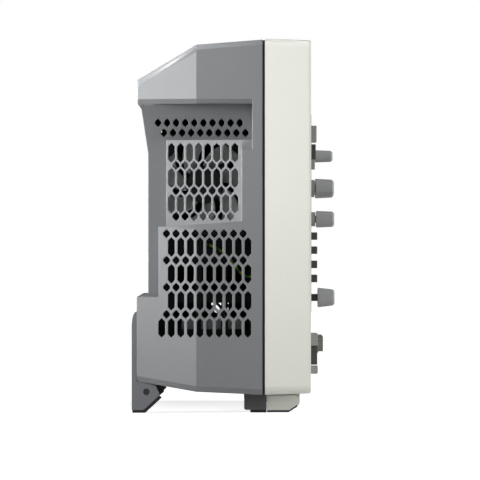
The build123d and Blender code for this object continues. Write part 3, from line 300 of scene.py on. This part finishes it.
def printInk(name, colour, thin):
    # pad printed ink: flat, slightly chalky, with tiny density changes
    material, tree, shader, place = startMaterial(name, {"IOR": 1.45, "Roughness": 0.6})
    density = addNode(
        tree, "ShaderNodeTexNoise", links={"Vector": (place, "Object")}, values={"Scale": perMm(0.8)},
    )
    tone = addNode(
        tree, "ShaderNodeMix", {"data_type": "RGBA"}, {"Factor": (density, "Fac")},
        {"A": linear(colour), "B": tuple(c * thin for c in linear(colour)[:3]) + (1.0,)},
    )
    tree.links.new(tone.outputs["Result"], shader.inputs["Base Color"])
    return material


whiteInk = printInk("printInkWhite", "#e8e9e4", 0.9)
print("materials made")


def newPiece(name, mesh, material):
    piece = bpy.data.objects.new(name, mesh)
    bpy.context.scene.collection.objects.link(piece)
    piece.data.materials.clear()
    piece.data.materials.append(material)
    return piece


def plainMesh(piece):
    # the evaluated result as a mesh of its own, with the modifiers gone
    bpy.context.view_layer.update()
    graph = bpy.context.evaluated_depsgraph_get()
    mesh = bpy.data.meshes.new_from_object(piece.evaluated_get(graph))
    material = piece.data.materials[0]
    old = piece.data
    piece.modifiers.clear()
    piece.data = mesh
    bpy.data.meshes.remove(old)
    piece.data.materials.clear()
    piece.data.materials.append(material)
    for face in piece.data.polygons:
        face.material_index = 0
    return piece


def fitBody(piece, body, cadNames=()):
    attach(piece, body)
    if cadNames:
        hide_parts(*cadNames)
    return piece


def keepCad(names, material):
    for name in names:
        nodes[name].data.materials.clear()
        nodes[name].data.materials.append(material)


seamSizes = {
    "weld": 0.002,       # corners of one node closer than this are one corner
    "touch": 0.02,       # faces of two nodes closer than this meet
    "join": 0.005,       # corners along a seam closer than this are one corner
    "flatDegrees": 0.5,  # faces that turn less than this become one face
}


def cadCopy(names):
    # one mesh from CAD nodes; faces where two of them meet are left out, so the seam closes
    shells = []
    for name in names:
        shell = bmesh.new()
        shell.from_mesh(nodes[name].data)
        bmesh.ops.remove_doubles(shell, verts=shell.verts, dist=seamSizes["weld"] * mm)
        shells.append(shell)
    trees = [BVHTree.FromBMesh(shell) for shell in shells]
    for shell, ownTree in zip(shells, trees):
        others = [tree for tree in trees if tree is not ownTree]
        seam = [face for face in shell.faces if any(meets(face, tree) for tree in others)]
        bmesh.ops.delete(shell, geom=seam, context="FACES")
    whole = bmesh.new()
    for shell in shells:
        mesh = bpy.data.meshes.new("shell")
        shell.to_mesh(mesh)
        whole.from_mesh(mesh)
        bpy.data.meshes.remove(mesh)
        shell.free()
    bmesh.ops.remove_doubles(whole, verts=whole.verts, dist=seamSizes["join"] * mm)
    closeSeam(whole)
    bmesh.ops.dissolve_limit(
        whole, angle_limit=math.radians(seamSizes["flatDegrees"]), verts=whole.verts, edges=whole.edges,
    )
    mesh = bpy.data.meshes.new(names[0] + "Copy")
    whole.to_mesh(mesh)
    whole.free()
    return mesh


def meets(face, tree):
    # whether the other shell has a face at this one's middle that looks the opposite way
    opposite = -0.99
    spot, normal, index, distance = tree.find_nearest(face.calc_center_median(), seamSizes["touch"] * mm)
    return spot is not None and normal.dot(face.normal) < opposite


def closeSeam(whole):
    # where a seam's edge on one side runs past a corner of the other, the edge is cut at that corner
    near = seamSizes["join"] * mm
    openEdges = [edge for edge in whole.edges if len(edge.link_faces) == 1]
    corners = {vert for edge in openEdges for vert in edge.verts}
    for edge in openEdges:
        a, b = edge.verts
        along = b.co - a.co
        cuts = []
        for vert in corners:
            if vert in (a, b):
                continue
            t = (vert.co - a.co).dot(along) / along.length_squared
            if 0.0001 < t < 0.9999 and (a.co + along * t - vert.co).length < near:
                cuts.append((t, vert.co.copy()))
        for t, place in sorted(cuts, reverse=True, key=lambda cut: cut[0]):
            share = (place - a.co).length / (edge.other_vert(a).co - a.co).length
            newEdge, newVert = bmesh.utils.edge_split(edge, a, share)
            newVert.co = place
            edge = newEdge if a in newEdge.verts else edge
    bmesh.ops.remove_doubles(whole, verts=whole.verts, dist=near)


def openEdgeCount(piece):
    probe = bmesh.new()
    probe.from_mesh(piece.data)
    count = sum(1 for edge in probe.edges if len(edge.link_faces) != 2)
    probe.free()
    return count


def markEdges(piece, angle, shortest):
    # weights for the rounding: edges sharper than angle and at least as long as shortest
    marked = bmesh.new()
    marked.from_mesh(piece.data)
    weight = marked.edges.layers.float.new("bevel_weight_edge")
    for edge in marked.edges:
        sharp = edge.calc_face_angle(0.0) > math.radians(angle)
        edge[weight] = 1.0 if sharp and edge.calc_length() >= shortest * mm else 0.0
    for face in marked.faces:
        face.smooth = True
    marked.to_mesh(piece.data)
    marked.free()


def keepCorners(piece, angle=40):
    # edges sharper than angle stay sharp in the shading
    sharp = bmesh.new()
    sharp.from_mesh(piece.data)
    for edge in sharp.edges:
        edge.smooth = len(edge.link_faces) == 2 and edge.calc_face_angle(0.0) < math.radians(angle)
    sharp.to_mesh(piece.data)
    sharp.free()


def roundEdges(piece, width, segments=2, angle=30, shortest=0.0):
    markEdges(piece, angle, shortest)
    bevel = piece.modifiers.new("edges", "BEVEL")
    bevel.width = width * mm
    bevel.segments = segments
    bevel.limit_method = "WEIGHT"
    bevel.use_clamp_overlap = True
    plainMesh(piece)
    # large faces keep their own normals; only the rounded edges blend between them
    keepCorners(piece)
    weighted = piece.modifiers.new("normals", "WEIGHTED_NORMAL")
    weighted.mode = "FACE_AREA"
    weighted.weight = 100
    weighted.keep_sharp = True
    return plainMesh(piece)


def softened(name, cadNames, body, material, width, angle=30, shortest=0.0):
    # CAD shape with its sharp edges rounded, as a moulded piece has them
    piece = newPiece(name, cadCopy(cadNames), material)
    openEdges = openEdgeCount(piece)
    if openEdges:
        print("open edges in", name, openEdges)
    roundEdges(piece, width, angle=angle, shortest=shortest)
    return fitBody(piece, body, cadNames)


def outwardFaces(piece):
    turned = bmesh.new()
    turned.from_mesh(piece.data)
    bmesh.ops.recalc_face_normals(turned, faces=turned.faces)
    turned.to_mesh(piece.data)
    turned.free()
    return piece


def boxMesh(name, low, high):
    # a box between two corners, in metres
    built = bmesh.new()
    made = bmesh.ops.create_cube(built, size=1.0)
    for vert in made["verts"]:
        vert.co = Vector([(high[i] + low[i]) / 2 + vert.co[i] * (high[i] - low[i]) for i in range(3)])
    mesh = bpy.data.meshes.new(name)
    built.to_mesh(mesh)
    built.free()
    return mesh


def startTree(name, inputs):
    # a Geometry Nodes tree with its named inputs, {name: kind of socket}
    tree = bpy.data.node_groups.new(name, "GeometryNodeTree")
    sockets = tree.interface
    sockets.new_socket("Geometry", in_out="INPUT", socket_type="NodeSocketGeometry")
    for label, kind in inputs.items():
        sockets.new_socket(label, in_out="INPUT", socket_type="NodeSocket" + kind)
    sockets.new_socket("Geometry", in_out="OUTPUT", socket_type="NodeSocketGeometry")
    return tree, addNode(tree, "NodeGroupInput")


def finishTree(tree, given, copies, rotation=(0.0, 0.0, 0.0)):
    # the copies turned and moved to Place, made real and given their Material
    placed = addNode(
        tree, "GeometryNodeTransform",
        links={"Geometry": (copies, "Instances"), "Translation": (given, "Place")},
        values={"Rotation": rotation},
    )
    real = addNode(tree, "GeometryNodeRealizeInstances", links={"Geometry": (placed, "Geometry")})
    painted = addNode(
        tree, "GeometryNodeSetMaterial",
        links={"Geometry": (real, "Geometry"), "Material": (given, "Material")},
    )
    addNode(tree, "NodeGroupOutput", links={"Geometry": (painted, "Geometry")})
    return tree


def repeatTree():
    # the modifier's own mesh repeated Count times, Step apart, each turned by Turn more
    tree, given = startTree("repeatItem", {
        "Count": "Int", "Step": "Vector", "Turn": "Vector", "Place": "Vector", "Material": "Material",
    })
    points = addNode(
        tree, "GeometryNodeMeshLine", {"mode": "OFFSET"},
        {"Count": (given, "Count"), "Offset": (given, "Step")},
    )
    index = addNode(tree, "GeometryNodeInputIndex")
    turn = addNode(
        tree, "ShaderNodeVectorMath", {"operation": "SCALE"},
        {"Vector": (given, "Turn"), "Scale": (index, "Index")},
    )
    copies = addNode(
        tree, "GeometryNodeInstanceOnPoints",
        links={"Points": (points, "Mesh"), "Instance": (given, "Geometry"), "Rotation": (turn, "Vector")},
    )
    return finishTree(tree, given, copies)


def populateTree():
    # small parts on a board: a grid of points, thinned by a fixed seed, each with a block of its own size
    tree, given = startTree("boardComponents", {
        "Rows": "Int", "Columns": "Int", "Seed": "Int", "Wide": "Float", "Tall": "Float", "Keep": "Float",
        "Smallest": "Vector", "Largest": "Vector", "Place": "Vector", "Material": "Material",
    })
    grid = addNode(
        tree, "GeometryNodeMeshGrid",
        links={
            "Size X": (given, "Wide"), "Size Y": (given, "Tall"),
            "Vertices X": (given, "Columns"), "Vertices Y": (given, "Rows"),
        },
    )
    chosen = addNode(
        tree, "FunctionNodeRandomValue", {"data_type": "BOOLEAN"},
        {"Probability": (given, "Keep"), "Seed": (given, "Seed")},
    )
    size = addNode(
        tree, "FunctionNodeRandomValue", {"data_type": "FLOAT_VECTOR"},
        {0: (given, "Smallest"), 1: (given, "Largest"), "Seed": (given, "Seed")},
    )
    block = addNode(tree, "GeometryNodeMeshCube", values={"Size": (1, 1, 1)})
    copies = addNode(
        tree, "GeometryNodeInstanceOnPoints",
        links={
            "Points": (grid, "Mesh"), "Instance": (block, "Mesh"), "Scale": (size, "Value"),
            "Selection": (chosen, 3),
        },
    )
    # the grid lies flat; a quarter turn stands it against the board
    return finishTree(tree, given, copies, (math.radians(90), 0.0, 0.0))


repeatItem = repeatTree()
boardComponents = populateTree()


def runTree(piece, tree, inputs):
    # sets the modifier's inputs by socket identifier, then keeps only the result
    modifier = piece.modifiers.new(tree.name, "NODES")
    modifier.node_group = tree
    for item in tree.interface.items_tree:
        if item.item_type == "SOCKET" and item.in_out == "INPUT" and item.name in inputs:
            modifier[item.identifier] = inputs[item.name]
    return plainMesh(piece)


# edge widths in millimetres; case edges shorter than shortest, those of the vent holes, stay sharp
caseSizes = {"edge": 0.45, "edgeAngle": 16, "shortest": 9.0}
bezelSizes = {"edge": 0.5}
fasciaSizes = {"edge": 0.25}

ventPanels = ("grip_panel", "upper_vent", "lower_vent")
vents = [f"{side}_{panel}" for side in ("left", "right") for panel in ventPanels]
softened(
    "caseShell", ["rear_housing"] + vents, "case", caseAbs, caseSizes["edge"],
    caseSizes["edgeAngle"], caseSizes["shortest"],
)
softened("bezelShell", ["front_bezel"], "case", bezelAbs, bezelSizes["edge"])
softened("fasciaPanel", ["control_fascia"], "case", fasciaAbs, fasciaSizes["edge"])
keepCad(["seam_gasket", "rear_foot_rubbers", "front_foot_pads", "left_leg_sole", "right_leg_sole"], neoprene)
print("case done")

footSizes = {"bracketEdge": 0.5, "baseEdge": 0.6, "legEdge": 0.5}

softened("rearBrackets", ["rear_foot_brackets"], "case", footNylon, footSizes["bracketEdge"])
softened(
    "frontFootBases", ["front_foot_bases"], "case", footBaseNylon, footSizes["baseEdge"],
)
for side in ("left", "right"):
    node = side + "_front_leg"
    softened(side + "FlipLeg", [node], node, legAbs, footSizes["legEdge"])
keepCad(["foot_screws", "leg_hinge_pins"], darkZinc)
print("feet done")

keySizes = {"edge": 0.22}

numberKeys = sorted(name for name in nodes if name.startswith("number_key"))
for name in numberKeys + ["wave_key", "power_button"]:
    softened(name + "Cap", [name], name, darkKeyAbs, keySizes["edge"])
for name in ("channel_one_key", "channel_two_key", "menu_key"):
    softened(name + "Cap", [name], name, lightKeyAbs, keySizes["edge"])
softened("powerGuard", ["power_guard"], "case", lightKeyAbs, keySizes["edge"])

digitSizes = {
    "height": 3.1,        # of a printed digit
    "proud": 0.06,        # film thickness, half of it in the key
    "heightShare": 0.72,  # a digit's height as a share of the type size
    "curveSteps": 4,
}
digitLabels = {1: "7", 2: "8", 3: "9", 4: "4", 5: "5", 6: "6", 7: "1", 8: "2", 9: "3", 10: "0"}


def digitPiece(number, label):
    # printed digit, a film on the key's face
    node = f"number_key_{number:02d}"
    low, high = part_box(node)
    words = bpy.data.curves.new("digitShape", "FONT")
    words.body = label
    words.size = digitSizes["height"] * mm / digitSizes["heightShare"]
    words.extrude = digitSizes["proud"] * mm / 2
    words.align_x = "CENTER"
    words.resolution_u = digitSizes["curveSteps"]
    shape = bpy.data.objects.new("digitShape", words)
    bpy.context.scene.collection.objects.link(shape)
    bpy.context.view_layer.update()
    mesh = bpy.data.meshes.new_from_object(shape.evaluated_get(bpy.context.evaluated_depsgraph_get()))
    bpy.data.objects.remove(shape)
    bpy.data.curves.remove(words)
    drop = digitSizes["height"] * mm / 2
    place = Vector(((low.x + high.x) / 2, low.y, (low.z + high.z) / 2 - drop))
    mesh.transform(Matrix.Translation(place) @ Matrix.Rotation(math.radians(90), 4, "X"))
    piece = newPiece(f"digit_{label}", mesh, whiteInk)
    fitBody(piece, node)


for number, label in digitLabels.items():
    digitPiece(number, label)
print("keys done")

knobSizes = {
    "edge": 0.35, "edgeAngle": 50,
    "flutes": 24, "fluteWidth": 0.45, "fluteEdge": 0.08, "fluteEdgeAngle": 30,
    "fluteProud": 0.22,  # past the knob's side
    "fluteRoot": 0.6,    # into the knob
    "skirtInset": 0.15,  # the side behind the flutes is this far inside the largest radius
    "tipInset": 0.1,     # and this far inside the radius near the tip
    "skirtGap": 0.7,     # from the flutes' rear end to the knob's
    "tipGap": 1.3,       # from the flutes' front end to the knob's
    "tipDepth": 1.2,     # the radius near the tip is taken this far in
}


def fluteMesh(radius, tip, back, front):
    # one flute, which follows the taper from radius at the back to tip at the front
    sizes = knobSizes
    bar = bmesh.new()
    made = bmesh.ops.create_cube(bar, size=1.0)
    for vert in made["verts"]:
        atBack = vert.co.y > 0
        reach = (radius - sizes["skirtInset"] * mm) if atBack else (tip - sizes["tipInset"] * mm)
        out = reach + (sizes["fluteProud"] if vert.co.x > 0 else -sizes["fluteRoot"]) * mm
        y = back - sizes["skirtGap"] * mm if atBack else front + sizes["tipGap"] * mm
        vert.co = Vector((out, y, vert.co.z * sizes["fluteWidth"] * mm))
    bmesh.ops.recalc_face_normals(bar, faces=bar.faces)
    mesh = bpy.data.meshes.new("flute")
    bar.to_mesh(mesh)
    bar.free()
    return mesh


def tipRadius(node, centre, y):
    # the knob's radius near its tip, from its own mesh
    near = [vert.co for vert in nodes[node].data.vertices if vert.co.y < y]
    return max(math.hypot(co.x - centre.x, co.z - centre.z) for co in near)


def knobPiece(node):
    # tapered body with rounded edges and a ring of fine flutes
    sizes = knobSizes
    low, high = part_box(node)
    softened(node + "Body", [node], node, knobAbs, sizes["edge"], sizes["edgeAngle"])
    centre = Vector(((low.x + high.x) / 2, 0, (low.z + high.z) / 2))
    radius = (high.x - low.x) / 2
    tip = tipRadius(node, centre, low.y + sizes["tipDepth"] * mm)
    ring = newPiece(node + "Flutes", fluteMesh(radius, tip, high.y, low.y), knobAbs)
    runTree(ring, repeatItem, {
        "Count": sizes["flutes"], "Step": (0.0, 0.0, 0.0),
        "Turn": (0.0, 2 * math.pi / sizes["flutes"], 0.0), "Place": tuple(centre), "Material": knobAbs,
    })
    outwardFaces(ring)
    roundEdges(ring, sizes["fluteEdge"], 1, sizes["fluteEdgeAngle"])
    fitBody(ring, node)


for node in sorted(name for name in nodes if name.endswith("_knob")):
    knobPiece(node)
keepCad(["knob_encoders"], darkZinc)
keepCad(["output_sockets", "rear_sockets"], nickelPlate)
print("knobs done")

displaySizes = {
    "edge": 0.3,
    "rim": 9.0,    # black rim round the active area
    "film": 0.04,  # the active area stands this far out of the glass
    "root": 0.1,   # and reaches this far into it
}


def buildDisplay():
    sizes = displaySizes
    softened("coverLens", ["display_lens"], "case", glassBlack, sizes["edge"])
    low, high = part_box("display_lens")
    rim = sizes["rim"] * mm
    active = boxMesh(
        "activeArea", (low.x + rim, low.y - sizes["film"] * mm, low.z + rim),
        (high.x - rim, low.y + sizes["root"] * mm, high.z - rim),
    )
    fitBody(newPiece("activeArea", active, screenGlass), "case")


buildDisplay()
keepCad(["display_module"], sheetSteel)
print("display done")

keepCad(["cross_head_screws"], zincSteel)
keepCad(["connector_plate", "data_ports", "power_supply"], sheetSteel)
keepCad(["chassis_tray"], darkSteel)
keepCad(["mains_inlet", "fan_frame"], blackAbs)
keepCad(["main_board", "key_board"], boardGreen)
keepCad(["earth_wire"], wireInsulation)
keepCad(["heat_sink"], finAluminium)

fanSizes = {
    "blades": 7, "hub": 11.4, "tip": 27.1, "thick": 1.1,
    "root": 1.0,         # a blade starts this far inside the hub
    "width": 33.0,       # degrees round the hub that a blade takes
    "firstAngle": 52.0,  # degrees, at the middle of the first blade's root
    "sweep": 30.0,       # degrees that a blade's tip leads its root
    "sweepCurve": 1.4,
    "pitch": 0.78,       # share of the rotor's depth from a blade's front edge to its back edge
    "bow": 1.2,
    "rows": 9, "columns": 7,
    "bladeEdge": 0.25, "bladeEdgeAngle": 35,
    "hubEdge": 0.9, "hubEdgeAngle": 50, "hubSides": 48,
}


def bladeMesh(depth):
    # one swept blade as a curved sheet, from inside the hub out to the tip
    sizes = fanSizes
    blade = bmesh.new()
    rows = []
    start = sizes["hub"] - sizes["root"]
    for i in range(sizes["rows"]):
        share = i / (sizes["rows"] - 1)
        radius = (start + (sizes["tip"] - start) * share) * mm
        row = []
        for j in range(sizes["columns"]):
            along = j / (sizes["columns"] - 1)
            lean = sizes["sweep"] * share ** sizes["sweepCurve"]
            angle = math.radians(sizes["firstAngle"] + lean + sizes["width"] * (along - 0.5))
            bow = math.sin(math.pi * along) * sizes["bow"] * mm
            x = (along - 0.5) * depth * sizes["pitch"] + bow
            row.append(blade.verts.new((x, radius * math.cos(angle), radius * math.sin(angle))))
        rows.append(row)
    for a, b in zip(rows, rows[1:]):
        for j in range(sizes["columns"] - 1):
            blade.faces.new((a[j], a[j + 1], b[j + 1], b[j]))
    mesh = bpy.data.meshes.new("blade")
    blade.to_mesh(mesh)
    blade.free()
    return mesh


def buildFan():
    # seven blades round a black hub cup
    sizes = fanSizes
    low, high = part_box("fan_rotor")
    centre = (low + high) / 2
    depth = high.x - low.x
    blades = newPiece("fanBlades", bladeMesh(depth), fanPbt)
    solid = blades.modifiers.new("thickness", "SOLIDIFY")
    solid.thickness = sizes["thick"] * mm
    solid.offset = 0.0
    plainMesh(blades)
    runTree(blades, repeatItem, {
        "Count": sizes["blades"], "Step": (0.0, 0.0, 0.0), "Turn": (2 * math.pi / sizes["blades"], 0.0, 0.0),
        "Place": tuple(centre), "Material": fanPbt,
    })
    outwardFaces(blades)
    roundEdges(blades, sizes["bladeEdge"], 2, sizes["bladeEdgeAngle"])
    fitBody(blades, "fan_rotor", ["fan_rotor"])
    cup = bmesh.new()
    radius = sizes["hub"] * mm
    bmesh.ops.create_cone(
        cup, cap_ends=True, segments=sizes["hubSides"], radius1=radius, radius2=radius, depth=depth,
    )
    cup.transform(Matrix.Translation(centre) @ Matrix.Rotation(math.radians(90), 4, "Y"))
    mesh = bpy.data.meshes.new("fanHub")
    cup.to_mesh(mesh)
    cup.free()
    hub = newPiece("fanHub", mesh, blackAbs)
    roundEdges(hub, sizes["hubEdge"], 3, sizes["hubEdgeAngle"])
    fitBody(hub, "fan_rotor")


componentSizes = {
    "margin": 14.0,  # bare border of the board
    "rows": 17, "columns": 30,
    "keep": 0.55,    # share of the grid's points that hold a part
    "seed": 7,
    "smallest": (1.2, 1.2, 1.2), "largest": (7.0, 6.5, 3.6),
}


def buildComponents():
    # chips and small parts on the main board's rear face
    sizes = componentSizes
    low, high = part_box("main_board")
    parts = newPiece("boardParts", boxMesh("boardSeed", (0, 0, 0), (mm, mm, mm)), chipEpoxy)
    runTree(parts, boardComponents, {
        "Rows": sizes["rows"], "Columns": sizes["columns"], "Seed": sizes["seed"], "Keep": sizes["keep"],
        "Wide": high.x - low.x - 2 * sizes["margin"] * mm, "Tall": high.z - low.z - 2 * sizes["margin"] * mm,
        "Smallest": tuple(c * mm for c in sizes["smallest"]),
        "Largest": tuple(c * mm for c in sizes["largest"]),
        "Place": (0.0, high.y, (low.z + high.z) / 2), "Material": chipEpoxy,
    })
    fitBody(parts, "case")


contactSizes = {
    "count": 8, "pitch": 1.02, "width": 0.5, "length": 6.0, "thick": 0.3,
    "across": 8.0,   # the network port's middle, from the low end of the ports
    "inset": 9.0,    # from the ports' rear face to the contacts' front ends
    "height": 45.6,  # over the floor
}


def buildContacts():
    # the network port's eight sprung contacts
    sizes = contactSizes
    low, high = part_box("data_ports")
    pitch = sizes["pitch"] * mm
    start = low.x + sizes["across"] * mm - (sizes["count"] - 1) / 2 * pitch
    half = sizes["width"] / 2 * mm
    bar = boxMesh("contact", (-half, 0, 0), (half, sizes["length"] * mm, sizes["thick"] * mm))
    contacts = newPiece("portContacts", bar, nickelPlate)
    runTree(contacts, repeatItem, {
        "Count": sizes["count"], "Step": (pitch, 0.0, 0.0), "Turn": (0.0, 0.0, 0.0),
        "Place": (start, high.y - sizes["inset"] * mm, sizes["height"] * mm), "Material": nickelPlate,
    })
    fitBody(contacts, "case")


buildFan()
buildComponents()
buildContacts()
print("inside done")

stageValues = {"floorColour": "#e9e9e7", "floorGlow": 0.75, "floorReach": 60.0, "worldLight": 0.38}


def buildFloor():
    # pale paint that also glows a little for the camera, so that only the shadow shows on it
    far = stageValues["floorReach"]
    mesh = bpy.data.meshes.new("studioFloor")
    mesh.from_pydata([(-far, -far, 0), (far, -far, 0), (far, far, 0), (-far, far, 0)], [], [(0, 1, 2, 3)])
    material = bpy.data.materials.new("studioFloorPaint")
    material.use_nodes = True
    tree = material.node_tree
    tree.nodes.clear()
    paint = addNode(tree, "ShaderNodeBsdfDiffuse", values={"Color": linear(stageValues["floorColour"])})
    glow = addNode(
        tree, "ShaderNodeEmission", values={"Color": (1, 1, 1, 1), "Strength": stageValues["floorGlow"]},
    )
    both = addNode(tree, "ShaderNodeAddShader", links={0: (paint, 0), 1: (glow, 0)})
    ray = addNode(tree, "ShaderNodeLightPath")
    mix = addNode(
        tree, "ShaderNodeMixShader", links={"Fac": (ray, "Is Camera Ray"), 1: (paint, 0), 2: (both, 0)},
    )
    addNode(tree, "ShaderNodeOutputMaterial", links={"Surface": (mix, 0)})
    floor = bpy.data.objects.new("studioFloor", mesh)
    bpy.context.scene.collection.objects.link(floor)
    floor.data.materials.append(material)


def buildWorld():
    # soft light all round, with plain white seen by the camera and through what is clear
    world = bpy.data.worlds.new("studioWorld")
    bpy.context.scene.world = world
    world.use_nodes = True
    tree = world.node_tree
    tree.nodes.clear()
    ambient = addNode(
        tree, "ShaderNodeBackground", values={"Color": (1, 1, 1, 1), "Strength": stageValues["worldLight"]},
    )
    white = addNode(tree, "ShaderNodeBackground", values={"Color": (1, 1, 1, 1), "Strength": 1.0})
    ray = addNode(tree, "ShaderNodeLightPath")
    seen = addNode(
        tree, "ShaderNodeMath", {"operation": "MAXIMUM"},
        {0: (ray, "Is Camera Ray"), 1: (ray, "Is Transmission Ray")},
    )
    mix = addNode(
        tree, "ShaderNodeMixShader", links={"Fac": (seen, "Value"), 1: (ambient, 0), 2: (white, 0)},
    )
    addNode(tree, "ShaderNodeOutputWorld", links={"Surface": (mix, 0)})


# places and sizes in metres, power in watts, spread in degrees
lightValues = {
    "keyLight": {  # low and from behind the left side, which picks out the case's edges
        "place": (-0.35, 0.75, 0.30), "aim": (-0.17, 0.03, 0.20), "size": (0.25, 0.25),
        "power": 0.74, "spread": 35,
    },
    "rimLight": {
        "place": (-0.9, 1.2, 0.3), "aim": (-0.17, 0.02, 0.22), "size": (0.3, 0.3),
        "power": 0.26, "spread": 30,
    },
    "topLight": {
        "place": (-0.3, 0.0, 2.0), "aim": (0.0, 0.0, 0.2), "size": (1.2, 1.2),
        "power": 1.5, "spread": 180,
    },
    "frontLight": {
        "place": (-0.5, -2.4, 0.7), "aim": (-0.05, -0.05, 0.11), "size": (1.0, 0.8),
        "power": 30.0, "spread": 180,
    },
}


def softLight(name, values):
    data = bpy.data.lights.new(name, "AREA")
    data.shape = "RECTANGLE"
    data.size, data.size_y = values["size"]
    data.energy = values["power"]
    data.spread = math.radians(values["spread"])
    light = bpy.data.objects.new(name, data)
    light.visible_camera = False
    light.location = values["place"]
    towards = Vector(values["aim"]) - Vector(values["place"])
    light.rotation_euler = towards.to_track_quat("-Z", "Y").to_euler()
    bpy.context.scene.collection.objects.link(light)


cameraValues = {
    "distance": 4.3,   # metres from the left side
    "across": 42.6,    # millimetres behind the bezel's front face
    "height": 104.1,   # millimetres over the floor
    "field": 288.0,    # millimetres seen across at the left side
    "sensor": 36.0,
    "farClip": 200.0,
}


def buildCamera():
    # square on to the left side, with the front at the right
    values = cameraValues
    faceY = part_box("front_bezel")[0].y
    nearSide = cadBox[0][0]
    data = bpy.data.cameras.new("sideCamera")
    data.sensor_width = values["sensor"]
    data.lens = values["sensor"] * values["distance"] / (values["field"] * mm)
    data.clip_end = values["farClip"]
    camera = bpy.data.objects.new("sideCamera", data)
    camera.location = (nearSide - values["distance"], faceY + values["across"] * mm, values["height"] * mm)
    camera.rotation_euler = Euler((math.radians(90), 0, math.radians(-90)))
    bpy.context.scene.collection.objects.link(camera)
    bpy.context.scene.camera = camera


buildFloor()
buildWorld()
for name, values in lightValues.items():
    softLight(name, values)
buildCamera()
bpy.context.scene.view_settings.view_transform = "Standard"
print("stage set")
